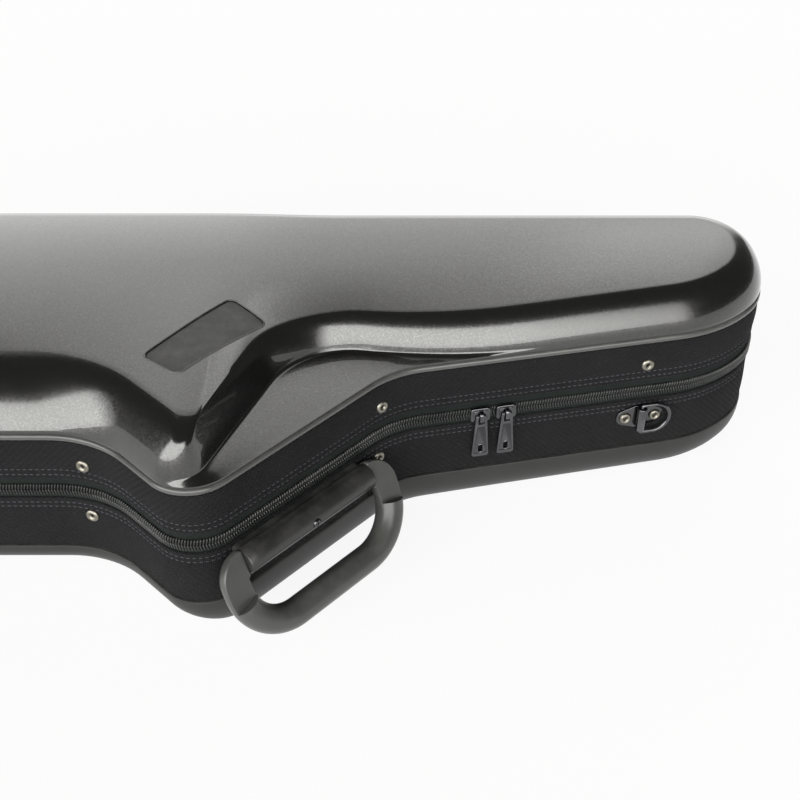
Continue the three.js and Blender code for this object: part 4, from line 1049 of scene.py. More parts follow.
class CASE_OT_lid(bpy.types.Operator):
    """Build the glossy lid with its groove, its bare label recess and the rim round it"""

    bl_idname = "case.lid"
    bl_label = "Lid"

    def execute(self, context):
        depth = context.scene.case_sizes.label_depth
        lid = drawn_out("lid_gloss", lid_rings(), filled=True, curved=True)
        context.view_layer.update()
        recess, inset = label_outline(0), label_outline(GAP)
        tool = [on_lid(lid, recess, depth * 3), on_lid(lid, recess, -depth), *label_skin(lid, recess, -depth)]
        top, bottom = GAP + LABEL_THICKNESS - depth, GAP - depth
        body = [
            on_lid(lid, inset, bottom),
            on_lid(lid, inset, top - LABEL_EDGE),
            on_lid(lid, label_outline(GAP + LABEL_EDGE), top),
        ]
        label = drawn_out("label_bare", body + label_skin(lid, inset, top), filled=True)
        edging = label_edging(lid)
        cut_by(lid, drawn_out("Recess tool", tool, filled=True))
        smoothed(lid, 42)
        smoothed(label, 30)
        smoothed(edging, 60)
        dressed(lid, finishes["paint"], "lid", "lid_paint", "lid_shell")
        dressed(label, finishes["label"], "lid", "label", "label_plate")
        dressed(edging, finishes["bead"], "lid", "lid_paint")
        return {"FINISHED"}


# Depth and steps of the round of the rim bead
BEAD_ROUND = 0.0017
BEAD_STEPS = 12


class CASE_OT_bead(bpy.types.Operator):
    """Build the rounded trim between the lid and the upper band"""

    bl_idname = "case.bead"
    bl_label = "Rim bead"

    def execute(self, context):
        half, inner = BEAD_HEIGHT / 2, SKIRT_OUTER - GAP
        section = [(inner, -half), (BEAD_ROUND, -half)]
        for out, rise in arc((0, 0), 1, -90, 90, BEAD_STEPS)[1:-1]:
            section.append((BEAD_ROUND * (1 - out), half * rise))
        section += [(BEAD_ROUND, half), (inner, half)]
        bead = drawn_out("rim_trim", [ring(inset, RIM_LEVEL + rise) for inset, rise in section], closed=True)
        smoothed(bead, 60)
        dressed(bead, finishes["bead"], "lid", "rim_bead", "lid_rim_bead")
        return {"FINISHED"}


# Bands


# Heights above or below the zip, and insets behind the band's face: the round of its far edge, the bulge's end above
# the stitching, the dip round each row of stitches, the hem, and the slit that holds the tape
BAND_ROUND = 0.0014
BAND_ROUND_END = 0.0004
BULGE_STEPS = 8
BULGE_END = 0.002
DIP_REACH = 0.0012
DIP_DEPTH = 0.0005
HEM = ((0, 0.0008), (0.0003, 0.0002), (0.0007, 0))
SLIT_FRONT = TAPE_INSET - 0.0002
SLIT_BACK = TAPE_INSET + 0.0013
SLIT_MOUTH = 0.0001
SLIT_SPARE = 0.001
STITCH_ROWS = {"upper": (0.0119, 0.0160), "lower": (0.0112, 0.0146)}

# Half the thickness of a stitch, how deep it lies, its length as a share of the pitch, and how much taller it is
STITCH_RADIUS = 0.00038
STITCH_SINK = 0.0003
STITCH_SHARE = 0.36
STITCH_TALLER = 1.1


def band_section(side, far, low, sizes, stitch_rows):
    """A padded band's section as pairs of inset and level, from its far edge to its hem, and back behind the tape."""
    top, back = abs(far - ZIP_LEVEL), BAND_INSET + BAND_WALL
    face = [
        (BAND_INSET + BAND_ROUND, top),
        (BAND_INSET + BAND_ROUND_END, top - BAND_ROUND_END),
        (BAND_INSET, top - BAND_ROUND),
    ]
    for k in range(1, BULGE_STEPS):
        share = k / BULGE_STEPS
        height = blend_of(top - BAND_ROUND, max(stitch_rows) + BULGE_END, share)
        face.append((BAND_INSET - sizes.bulge * math.sin(math.pi * share), height))
    for row in sorted(stitch_rows, reverse=True):
        face += [(BAND_INSET, row + DIP_REACH), (BAND_INSET + DIP_DEPTH, row), (BAND_INSET, row - DIP_REACH)]
    face += [(BAND_INSET + inset, low + height) for inset, height in HEM]
    slit_end = sizes.tape_width + SLIT_SPARE
    slit = [(SLIT_FRONT, low + SLIT_MOUTH), (SLIT_FRONT, slit_end), (SLIT_BACK, slit_end), (SLIT_BACK, BAND_ROUND)]
    section = [*face, *slit, (back, BAND_ROUND), (back, top)]
    return [(inset, ZIP_LEVEL + side * height) for inset, height in section]


def stitch_run(name, level, pitch):
    """A row of stitches round the case."""
    rest()
    bpy.ops.mesh.primitive_uv_sphere_add(segments=6, ring_count=4, radius=STITCH_RADIUS)
    stitch = bpy.context.object
    stitch.name = stitch.data.name = name
    along_x(stitch)
    placed(stitch, Matrix.Diagonal((pitch * STITCH_SHARE / STITCH_RADIUS, 1, STITCH_TALLER, 1)))
    smoothed(stitch, 80)
    return repeated_along(stitch, ring(BAND_INSET + STITCH_SINK, level), pitch, closed=True)


class CASE_OT_bands(bpy.types.Operator):
    """Build the padded fabric bands with their hems and stitching"""

    bl_idname = "case.bands"
    bl_label = "Fabric bands"

    def execute(self, context):
        sizes = context.scene.case_sizes
        plans = (
            ("upper", 1, RIM_LEVEL - BEAD_HEIGHT / 2 - GAP, sizes.upper_hem, "lid"),
            ("lower", -1, PAN_HEIGHT + GAP, sizes.lower_hem, "base"),
        )
        for name, side, far, hem, body in plans:
            rows = STITCH_ROWS[name]
            section = band_section(side, far, hem, sizes, rows)
            band = drawn_out(f"{name}_cover", [ring(inset, level) for inset, level in section], closed=True)
            smoothed(band, 60)
            dressed(band, finishes["fabric"], body, "band_fabric", f"{name}_band")
            pitch = sizes.stitch_pitch
            runs = [stitch_run(f"Row {k}", ZIP_LEVEL + side * row, pitch) for k, row in enumerate(rows)]
            dressed(joined(f"{name}_stitching", *runs), finishes["thread"], body, "band_fabric")
        return {"FINISHED"}


# Zip


# Half the gap between the two tapes and between the two rows of teeth
PARTING = 0.00015

# How far the tape lies behind its front, then a tooth's length as a share of the pitch, its depth, height and lean
TAPE_SINK = 0.0004
TAPE_THICKNESS = 0.0007
TAPE_STEPS = 6
TOOTH_SHARE = 0.62
TOOTH_DEPTH = 0.0019
TOOTH_HEIGHT = 0.0040
TOOTH_LEAN = 0.22
TOOTH_EDGE = 0.0004


def zip_tooth(side, pitch):
    """One leaning tooth above or below the zip's line, its back on the path."""
    rest()
    bpy.ops.mesh.primitive_cube_add(size=1)
    tooth = bpy.context.object
    placed(tooth, Matrix.Diagonal((pitch * TOOTH_SHARE, TOOTH_DEPTH, TOOTH_HEIGHT, 1)))
    rounded(tooth, TOOTH_EDGE, segments=1)
    placed(tooth, Matrix(((1, 0, TOOTH_LEAN * side, 0), (0, 1, 0, 0), (0, 0, 1, 0), (0, 0, 0, 1))))
    slid(tooth, y=TOOTH_DEPTH / 2, z=side * (PARTING + TOOTH_HEIGHT / 2))
    return smoothed(tooth, 40)


class CASE_OT_zip(bpy.types.Operator):
    """Build both zip tapes and their rows of teeth"""

    bl_idname = "case.zip"
    bl_label = "Zip"

    def execute(self, context):
        sizes = context.scene.case_sizes
        near, far = 2 * PARTING, sizes.tape_width
        heights = [blend_of(near, far, k / TAPE_STEPS) for k in range(TAPE_STEPS + 1)]
        for name, side, body in (("upper", 1, "lid"), ("lower", -1, "base")):
            rows = [zip_path(TAPE_INSET + TAPE_SINK, ZIP_LEVEL + side * height) for height in heights[::side]]
            tape = drawn_out(f"{name}_tape", rows, line=True)
            modified(tape, "SOLIDIFY", thickness=TAPE_THICKNESS, offset=0)
            smoothed(tape, 60)
            dressed(tape, finishes["tape"], body, "zip_tape", f"{name}_zip_tape")
            length = path_length(rows[0], False)
            tooth = zip_tooth(side, sizes.tooth_pitch)
            teeth = repeated_along(tooth, zip_path(COIL_INSET, ZIP_LEVEL), sizes.tooth_pitch)
            teeth.name = teeth.data.name = f"{name}_teeth"
            dressed(teeth, finishes["coil"], body, "zip_coil", f"{name}_zip_coil")
        return {"FINISHED"}


# The cloth hinge's inset, how far its middle bows out, how far it reaches up and down from the zip, and within what
# height it bends; then the tabs' corners and edges
HINGE_INSET = BAND_INSET + 0.0012
HINGE_BOW = 0.0009
HINGE_REACH = 0.0066
HINGE_STEPS = 10
HINGE_THICKNESS = 0.0011
HINGE_BEND = 0.003
TAB_CORNER = 0.0012
TAB_EDGE = 0.0004


class CASE_OT_hinge(bpy.types.Operator):
    """Build the cloth hinge at the back and the tabs that end the zip"""

    bl_idname = "case.hinge"
    bl_label = "Cloth hinge"

    def execute(self, context):
        rows = []
        for k in range(HINGE_STEPS + 1):
            share = k / HINGE_STEPS * 2 - 1
            rows.append(hinge_path(HINGE_INSET - HINGE_BOW * (1 - share**2), ZIP_LEVEL + share * HINGE_REACH))
        strip = drawn_out("hinge_cloth", rows, line=True)
        modified(strip, "SOLIDIFY", thickness=HINGE_THICKNESS, offset=0)
        smoothed(strip, 60)
        dressed(strip, finishes["fabric"], None, "band_fabric", "hinge_strip_lower", "hinge_strip_upper")
        low, high = (0, BACK, ZIP_LEVEL - HINGE_BEND), (0, BACK, ZIP_LEVEL + HINGE_BEND)
        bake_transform(strip)
        for name in ("bow", "neck"):
            node = f"zip_end_tab_{name}"
            low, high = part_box(node)
            size = high - low
            outline = rounded_oblong(size.x, size.z, TAB_CORNER)
            tab = rounded(plate(f"zip_end_{name}", outline, -size.y / 2, size.y / 2), TAB_EDGE)
            placed(tab, outward_frame((low + high) / 2, Vector((-1, 0, 0))))
            smoothed(tab, 50)
            dressed(tab, finishes["fabric"], "base", "band_fabric", node)
        return {"FINISHED"}


# Pan and lining


def pan_ring(share, wall, least):
    """A ring of the pan from its lip down to the floor, wall inside its outer face."""
    height = PAN_HEIGHT - PAN_LIP
    insets = each_edge(lambda side: max(least, wall + PAN_ROLLS[side] * share**2))
    depths = each_edge(lambda side: 2 * share * (1 - share) * PAN_TURNS[side] + share**2 * height)
    levels = each_edge(lambda side: wall + (height - wall) * (1 - depths[side] / height))
    return ring(insets, levels, least_radius=PAN_LEAST_RADIUS)


# How far the skirt ends below the zip, and where the rings of the pan's roll lie outside and inside
PAN_SKIRT_DROP = 0.0066
PAN_STEPS = 14
PAN_INNER_SHARES = (0.16, 0.36, 0.58, 0.8, 1)


class CASE_OT_pan(bpy.types.Operator):
    """Build the satin pan with its lip and the skirt inside the lower band"""

    bl_idname = "case.pan"
    bl_label = "Pan"

    def execute(self, context):
        skirt_end, lip = ZIP_LEVEL - PAN_SKIRT_DROP, PAN_HEIGHT - PAN_LIP
        inner = [ring(SKIRT_INNER, skirt_end), ring(SKIRT_INNER, lip)]
        inner += [pan_ring(share, WALL, SKIRT_INNER) for share in PAN_INNER_SHARES]
        outer = [
            ring(SKIRT_OUTER, skirt_end),
            ring(SKIRT_OUTER, PAN_HEIGHT),
            ring(PAN_EDGE, PAN_HEIGHT),
            ring(PAN_EDGE * EDGE_FALL, PAN_HEIGHT - PAN_EDGE * EDGE_FALL),
            ring(0, PAN_HEIGHT - PAN_EDGE),
            ring(0, lip),
        ]
        outer += [pan_ring(k / PAN_STEPS, 0, 0) for k in range(1, PAN_STEPS + 1)]
        pan = drawn_out("pan_satin", inner[::-1] + outer, filled=True)
        smoothed(pan, 40)
        dressed(pan, finishes["pan"], "base", "pan_shell", "lower_shell")
        return {"FINISHED"}


# How far the plush draws back from the shells, the cells of its skin, how it is smoothed, and how near two corners
# lie that become one
LINING_GAP = 0.0003
LINING_CELL = 0.003
LINING_SOFTNESS = 0.5
LINING_ROUNDS = 6
MERGED = 0.00001


def padded_copy(name, node):
    """A copy of a CAD node's mesh, remeshed to an even skin and softened."""
    rest()
    source = frame["nodes"][node]
    piece = source.copy()
    piece.data = source.data.copy()
    piece.parent = None
    for key in list(piece.keys()):
        del piece[key]
    bpy.context.scene.collection.objects.link(piece)
    piece.name = piece.data.name = name
    piece.hide_render = piece.hide_viewport = False
    take(piece)
    bpy.ops.object.mode_set(mode="EDIT")
    bpy.ops.mesh.select_all(action="SELECT")
    bpy.ops.mesh.remove_doubles(threshold=MERGED)
    bpy.ops.object.mode_set(mode="OBJECT")
    modified(piece, "REMESH", mode="VOXEL", voxel_size=LINING_CELL)
    modified(piece, "SMOOTH", factor=LINING_SOFTNESS, iterations=LINING_ROUNDS)
    return modified(piece, "DISPLACE", strength=-LINING_GAP, mid_level=0)


class CASE_OT_lining(bpy.types.Operator):
    """Build the padded plush block in the pan and the lining of the lid"""

    bl_idname = "case.lining"
    bl_label = "Plush lining"

    def execute(self, context):
        for name, node, body in (("base_lining", "base_insert", "base"), ("lid_lining", "lid_insert", "lid")):
            lining = padded_copy(name, node)
            if body == "lid":
                for vertex in lining.data.vertices:
                    vertex.co = settled(vertex.co)
            smoothed(lining, 180)
            dressed(lining, finishes["plush"], body, "plush", node)
        return {"FINISHED"}


# Handle


# The half-round tube and how deep its back lies behind the pivot line; the bar's reach, thickness, corners and
# elbows; how far out its ends are cut flat and how deep; the gap beside the tube; and how far down the bar hangs
HANDLE_TUBE = 0.017
HANDLE_LENGTH = 0.108
HANDLE_BACK = 0.0045
HANDLE_REACH = 0.0498
HANDLE_GRIP = 0.0187
HANDLE_CORNER = 0.034
HANDLE_ELBOW = 0.0105
LUG_REACH = 0.024
LUG_FLAT = 0.0032
END_GAP = 0.0005
DROOP = math.radians(66)

# The tube's edges and ends, the step where the flats stop, the slope and size of the bar's ends, the steps of its
# section, its elbows, arms and corners, the spigots that it turns on, and the sink of the screw
TUBE_EDGE = 0.0006
TUBE_END = 0.4925
TUBE_END_SIZE = 0.93
TUBE_STEPS = 28
LUG_STEP = 0.0004
LUG_SLOPE = 0.0006
LUG_END_SIZE = 0.94
GRIP_STEPS = 48
ELBOW_STEPS = 14
ARM_SHARES = (0.35, 0.7)
BAR_CORNER_STEPS = 26
SPIGOT_RADIUS = 0.0025
SPIGOT_IN = 0.002
SPIGOT_OUT = 0.010
SINK_RADIUS = 0.0034
SINK_DEPTH = 0.0012

# The cap screw's head from its middle out and up, as radius and height above the bottom of its sink, and its slot
CAP_HEAD = ((NEAR_AXIS, -0.003), (0.003, -0.003), (0.003, 0.0008), (0.0027, 0.0014), (0.0019, 0.0019),
            (0.001, 0.0021), (NEAR_AXIS, 0.0021))
SLOT_LENGTH = 0.0034
SLOT_WIDTH = 0.0006
SLOT_CORNER = 0.0002
SLOT_FLOOR = 0.0012
ABOVE_SCREW = 0.004


def soft_floor(value, floor, softness=0.0003):
    """Never below floor, with a small round where it meets it."""
    over = value - floor
    return floor + (over + math.sqrt(over**2 + softness**2)) / 2


def bail_rings():
    """Sections of the handle's bar in its own plane, y away from the pivot line."""
    start = HANDLE_LENGTH / 2 + END_GAP
    arm, corner = start + HANDLE_ELBOW, HANDLE_CORNER
    right = arc_stations((start, HANDLE_ELBOW), HANDLE_ELBOW, -90, 0, ELBOW_STEPS)
    straight = HANDLE_REACH - corner
    right += [((arm, blend_of(HANDLE_ELBOW, straight, share)), (0, 1)) for share in ARM_SHARES]
    bend = arc_stations((arm - corner, straight), corner, 0, 90, BAR_CORNER_STEPS)
    turned_in = math.degrees(math.asin((LUG_REACH - straight) / corner))
    before = arc_stations((arm - corner, straight), corner, turned_in, turned_in + 1, 1)
    right += [s for s in bend if s[0][1] < LUG_REACH - LUG_STEP] + [before[0], before[0]]
    flats = len(right) - 1
    right += [s for s in bend if s[0][1] > LUG_REACH + LUG_STEP]
    right.append(((0, HANDLE_REACH), (-1, 0)))
    left = [((-x, y), (dx, -dy)) for (x, y), (dx, dy) in right[:-1]][::-1]
    outline = arc((0, 0), HANDLE_GRIP / 2, 0, 360, GRIP_STEPS)[:-1]
    rings = path_stations(right + left, outline)
    for section in rings[:flats] + rings[-flats:]:
        for point in section:
            point.z = soft_floor(point.z, -LUG_FLAT)
    ends = []
    for section, sense in ((rings[0], 1), (rings[-1], -1)):
        middle = sum(section, Vector()) / len(section)
        ends.append([middle + (point - middle) * LUG_END_SIZE for point in section])
        for point in section:
            point.x += LUG_SLOPE * sense
    return [ends[0], *rings, ends[1]]


def handle_tube():
    """The fixed half-round tube with the sink for its screw and the two spigots that the bar turns on."""
    radius, flat = HANDLE_TUBE / 2, -HANDLE_BACK
    profile = [(-radius, flat + TUBE_EDGE), (-radius + TUBE_EDGE, flat), (radius - TUBE_EDGE, flat),
               (radius, flat + TUBE_EDGE), *arc((0, 0), radius, 0, 180, TUBE_STEPS)]
    lengths = ((-0.5, TUBE_END_SIZE), (-TUBE_END, 1), *((k / 8, 1) for k in range(-3, 4)), (TUBE_END, 1),
               (0.5, TUBE_END_SIZE))
    rings = [[Vector((HANDLE_LENGTH * at, y * size, z * size)) for y, z in profile] for at, size in lengths]
    tube = drawn_out("handle_tube", rings, filled=True)
    sink = [(SINK_RADIUS, radius - SINK_DEPTH), (SINK_RADIUS, radius + ABOVE_SCREW)]
    cut_by(tube, turned("Screw sink", sink, 24))
    spigots = []
    for start in (-HANDLE_LENGTH / 2 - SPIGOT_OUT, HANDLE_LENGTH / 2 - SPIGOT_IN):
        spigot = turned("Spigot", [(SPIGOT_RADIUS, 0), (SPIGOT_RADIUS, SPIGOT_IN + SPIGOT_OUT)], 20)
        spigots.append(slid(along_x(spigot), x=start))
    return joined("handle_tube", tube, *spigots)


def cap_screw():
    """A domed screw head with a cross slot."""
    seat = HANDLE_TUBE / 2 - SINK_DEPTH
    screw = turned("handle_cap_screw", [(radius, seat + height) for radius, height in CAP_HEAD], 28)
    for turn in (0, math.pi / 2):
        outline = rounded_oblong(SLOT_LENGTH, SLOT_WIDTH, SLOT_CORNER, steps=2)
        slot = plate("Slot", outline, seat + SLOT_FLOOR, seat + ABOVE_SCREW)
        cut_by(screw, placed(slot, Matrix.Rotation(turn, 4, "Z")))
    return screw


class CASE_OT_handle(bpy.types.Operator):
    """Build the handle: its fixed tube, its screw and the bar that swings"""

    bl_idname = "case.handle"
    bl_label = "Handle"

    def execute(self, context):
        place = hinge_frame("handle_swing")
        tube = smoothed(placed(handle_tube(), place), 40)
        dressed(tube, finishes["handle"], "base", "handle_plastic", "handle_base")
        hang = Matrix.Rotation(math.pi / 2 + DROOP, 4, "X")
        bar = smoothed(placed(drawn_out("handle_bar", bail_rings(), filled=True), place @ hang), 50)
        # The bar wears the lighter copy of the handle plastic, a painted highlight.
        dressed(bar, finishes["grip_painted_highlight"], "handle", "handle_plastic", "handle_bail")
        screw = smoothed(placed(cap_screw(), place), 40)
        dressed(screw, finishes["nickel"], "base", "black_nickel", "handle_screw")
        return {"FINISHED"}


# Strap rings and rivets


# A rivet's section from its middle out, as pairs of radius and height for its cup, and of shares of the head's
# half width and heights for its rim
RIVET_CUP = ((NEAR_AXIS, -0.001), (0.0011, -0.001), (0.0012, 0.0007), (0.0016, 0.0012))
RIVET_RIM = ((0.55, 0.0019), (0.75, 0.0019), (0.92, 0.0013), (1, 0.0005), (0.98, 0), (0.9, -0.0004))

# Where the rivets of the bands sit: their drop below the rim and below the zip, and their places from the bow end
UPPER_RIVET_LEVEL = RIM_LEVEL - 0.0197
LOWER_RIVET_LEVEL = ZIP_LEVEL - 0.019
UPPER_FRONT_RIVETS = {"bow": 0.223, "waist": 0.406, "neck": LENGTH - 0.0885}
LOWER_FRONT_RIVETS = {"bow": 0.223, "waist": 0.4035}
BACK_RIVETS = {"bow": 0.110, "middle": LENGTH / 2, "neck": LENGTH - 0.110}


def rivet_at(name, matrix, head, seat=0):
    """A cupped rivet head, its face up z from its seat."""
    profile = [*RIVET_CUP, *((head / 2 * share, height) for share, height in RIVET_RIM)]
    rivet = turned(name, [(radius, height + seat) for radius, height in profile], 32)
    return smoothed(placed(rivet, matrix), 50)


class CASE_OT_rivets(bpy.types.Operator):
    """Build the rivets that hold the fabric bands"""

    bl_idname = "case.rivets"
    bl_label = "Rivets"

    def execute(self, context):
        head = context.scene.case_sizes.rivet_head
        plans = (("upper", UPPER_RIVET_LEVEL, UPPER_FRONT_RIVETS, "lid"),
                 ("lower", LOWER_RIVET_LEVEL, LOWER_FRONT_RIVETS, "base"))
        for band, level, front, body in plans:
            for face, places, side in (("front", front, FRONT), ("back", BACK_RIVETS, REAR)):
                for spot, from_bow in places.items():
                    node = f"{band}_{face}_rivet_{spot}"
                    matrix = side_frame(from_bow, side, BAND_INSET, level)
                    rivet = rivet_at(f"rivet_{band}_{face}_{spot}", matrix, head)
                    dressed(rivet, finishes["rivet"], body, "rivet_nickel", node)
        return {"FINISHED"}


# The plate's rivets, lobes and edges, how far its middle goes past the barrel, and where the lobes end in degrees;
# then the barrel and the ring's wire
PLATE_SPACING = 0.0215
PLATE_LOBE = 0.013
PLATE_HEIGHT = 0.0185
PLATE_THICKNESS = 0.0015
PLATE_EDGE = 0.0004
PLATE_SPREAD = 0.0004
PLATE_LOBE_END = 68
KNUCKLE = 0.0068
KNUCKLE_HEIGHT = 0.019
KNUCKLE_EDGE = 0.0005
KNUCKLE_LEVEL = PLATE_THICKNESS + GAP / 2 + KNUCKLE / 2
RING_WIRE = 0.003
RING_HEIGHT = 0.023
RING_REACH = 0.0205
LOBE_STEPS = 14
BARREL_STEPS = 32
RING_STEPS = 28
RING_CORNER_STEPS = 6
WIRE_STEPS = 20
STRAP_HEAD = 0.0086

# Where the plates sit from the bow end, and their drop below the zip
STRAPS = {"neck": LENGTH - 0.0897, "bow": 0.125}
STRAP_DROP = 0.021


def strap_plate(name):
    """Two round lobes for the rivets and the barrel that the ring turns in."""
    lobe, half, tall, middle = PLATE_LOBE / 2, PLATE_SPACING / 2, PLATE_HEIGHT / 2, KNUCKLE / 2 + PLATE_SPREAD
    outline = [
        *arc((half, 0), lobe, -PLATE_LOBE_END, PLATE_LOBE_END, LOBE_STEPS),
        (middle, tall),
        (-middle, tall),
        *arc((-half, 0), lobe, 180 - PLATE_LOBE_END, 180 + PLATE_LOBE_END, LOBE_STEPS),
        (-middle, -tall),
        (middle, -tall),
    ]
    flat = rounded(plate("Flat", outline, GAP, GAP + PLATE_THICKNESS), PLATE_EDGE, 3)
    outer, bore, end, edge = KNUCKLE / 2, RING_WIRE / 2 + GAP, KNUCKLE_HEIGHT / 2, KNUCKLE_EDGE
    fall = edge * EDGE_FALL
    low = [(bore, -end), (outer - edge, -end), (outer - fall, fall - end), (outer, edge - end)]
    profile = low + [(radius, -z) for radius, z in reversed(low)]
    rings = [[Vector((x, y, z)) for x, y in arc((0, 0), radius, 0, 360, BARREL_STEPS)[:-1]] for radius, z in profile]
    barrel = placed(drawn_out("Barrel", rings, closed=True), Matrix.Rotation(-math.pi / 2, 4, "X"))
    slid(barrel, z=KNUCKLE_LEVEL)
    return smoothed(joined(name, flat, barrel), 45)


def strap_ring(name):
    """A closed D of round wire, its straight bar on the y axis."""
    half, corner = RING_HEIGHT / 2, RING_WIRE / 2
    reach = RING_REACH - half
    stations = arc_stations((reach, 0), half, -90, 90, RING_STEPS)
    stations += [((blend_of(reach, corner, share), half), (-1, 0)) for share in (0.4, 0.8)]
    stations += arc_stations((corner, half - corner), corner, 90, 180, RING_CORNER_STEPS)
    stations += [((0, blend_of(half - corner, corner - half, share)), (0, -1)) for share in (0.25, 0.5, 0.75)]
    stations += arc_stations((corner, corner - half), corner, 180, 270, RING_CORNER_STEPS)
    stations += [((blend_of(corner, reach, share), -half), (1, 0)) for share in (0.2, 0.6)]
    wire = arc((0, 0), RING_WIRE / 2, 0, 360, WIRE_STEPS)[:-1]
    return smoothed(drawn_out(name, path_stations(stations, wire), closed=True), 80)


class CASE_OT_straps(bpy.types.Operator):
    """Build the plates, rings and rivets for the shoulder strap"""

    bl_idname = "case.straps"
    bl_label = "Strap rings"

    def execute(self, context):
        for end, from_bow in STRAPS.items():
            place = side_frame(from_bow, FRONT, BAND_INSET, ZIP_LEVEL - STRAP_DROP)
            holder = placed(strap_plate(f"strap_holder_{end}"), place)
            dressed(holder, finishes["nickel"], "base", "black_nickel", f"strap_plate_{end}")
            ring_piece = placed(strap_ring(f"strap_dee_{end}"), place @ Matrix.Translation((0, 0, KNUCKLE_LEVEL)))
            dressed(ring_piece, finishes["nickel"], f"ring_{end}", "black_nickel", f"strap_ring_{end}")
            for spot, side in (("outer", -1), ("inner", 1)):
                matrix = place @ Matrix.Translation((side * PLATE_SPACING / 2, 0, 0))
                rivet = rivet_at(f"rivet_strap_{end}_{spot}", matrix, STRAP_HEAD, PLATE_THICKNESS + GAP)
                dressed(rivet, finishes["rivet"], "base", "rivet_nickel", f"strap_rivet_{end}_{spot}")
        return {"FINISHED"}


# A slider's plate, its raised middle and its bridge, which leans in by some degrees where its bends start, then the
# pull with its crossbar, slot and hole
SLIDER_LENGTH = 0.014
SLIDER_HEIGHT = 0.011
SLIDER_CORNER = 0.0025
SLIDER_THICKNESS = 0.002
SLIDER_FOOT = GAP - COIL_INSET
SLIDER_EDGE = 0.0006
RAISED_SMALLER = (0.004, 0.003)
RAISED_CORNER = 0.0018
RAISED_SINK = 0.0003
RAISED_HEIGHT = 0.0006
RAISED_EDGE = 0.0004
BRIDGE_HEIGHT = 0.008
BRIDGE_RISE = 0.0046
BRIDGE_BAR = 0.0012
BRIDGE_WIDTH = 0.003
BRIDGE_EDGE = 0.0003
BRIDGE_STEPS = 5
BRIDGE_LEAN = 15
PULL_LENGTH = 0.035
PULL_TOP = 0.008
PULL_BOTTOM = 0.012
PULL_THICKNESS = 0.0016
PULL_CORNER = 0.002
PULL_CROSSBAR = 0.0022
PULL_SLOT = (0.0044, 0.005)
PULL_SLOT_CORNER = 0.0006
PULL_HOLE = (0.004, 0.007)
PULL_HOLE_ROUND = 0.48
PULL_EDGE = 0.0004

# The sunk panel of a pull: how much narrower it is at the top and at the bottom, how much shorter, and its corners,
# its depth, its place below the pull's middle, and the wire of the rim round the hole
PANEL_NARROWER = (0.0024, 0.0028)
PANEL_SHORTER = 0.012
PANEL_CORNER = 0.001
PANEL_DEPTH = 0.00025
PANEL_DROP = 0.0032
COLLAR_WIRE = 0.00045
COLLAR_STEPS = 8

# Where the sliders sit from the bow end
LEFT_SLIDER = LENGTH - 0.203
SLIDER_SPACING = 0.0175
SLIDERS = {"left": LEFT_SLIDER, "right": LEFT_SLIDER + SLIDER_SPACING}


def slider_body(name):
    """A plate over the teeth with a raised middle and the bridge that holds the pull."""
    face = SLIDER_FOOT + SLIDER_THICKNESS
    body = plate("Body", rounded_oblong(SLIDER_LENGTH, SLIDER_HEIGHT, SLIDER_CORNER), SLIDER_FOOT, face)
    rounded(body, SLIDER_EDGE, 3)
    oblong = rounded_oblong(SLIDER_LENGTH - RAISED_SMALLER[0], SLIDER_HEIGHT - RAISED_SMALLER[1], RAISED_CORNER)
    raised = rounded(plate("Raised", oblong, face - RAISED_SINK, face + RAISED_HEIGHT), RAISED_EDGE, 3)
    half, bar, bend = BRIDGE_HEIGHT / 2, BRIDGE_BAR, 2 * BRIDGE_BAR
    centre, level = half - bend, BRIDGE_RISE - bend
    outer = [
        (half, -GAP), (half, level), *arc((centre, level), bend, BRIDGE_LEAN, 90, BRIDGE_STEPS),
        *arc((-centre, level), bend, 90, 180 - BRIDGE_LEAN, BRIDGE_STEPS), (-half, level), (-half, -GAP),
    ]
    inner = [
        (bar - half, -GAP), *arc((-centre, level), bar, 180, 90, BRIDGE_STEPS),
        *arc((centre, level), bar, 90, 0, BRIDGE_STEPS), (half - bar, -GAP),
    ]
    bridge = plate("Bridge", outer + inner, -BRIDGE_WIDTH / 2, BRIDGE_WIDTH / 2)
    rounded(bridge, BRIDGE_EDGE, 2, 50)
    slid(along_x(bridge), z=face)
    return smoothed(joined(name, body, raised, bridge), 45)


def collar(outline, z):
    """A thin raised rim round a hole."""
    rings = []
    for out, rise in arc((0, 0), COLLAR_WIRE, 0, 360, COLLAR_STEPS)[:-1]:
        wider = [Vector(spot) * (1 + out / math.hypot(*spot)) for spot in outline]
        rings.append([Vector((*spot, z + rise)) for spot in wider])
    return drawn_out("Collar", rings, closed=True)


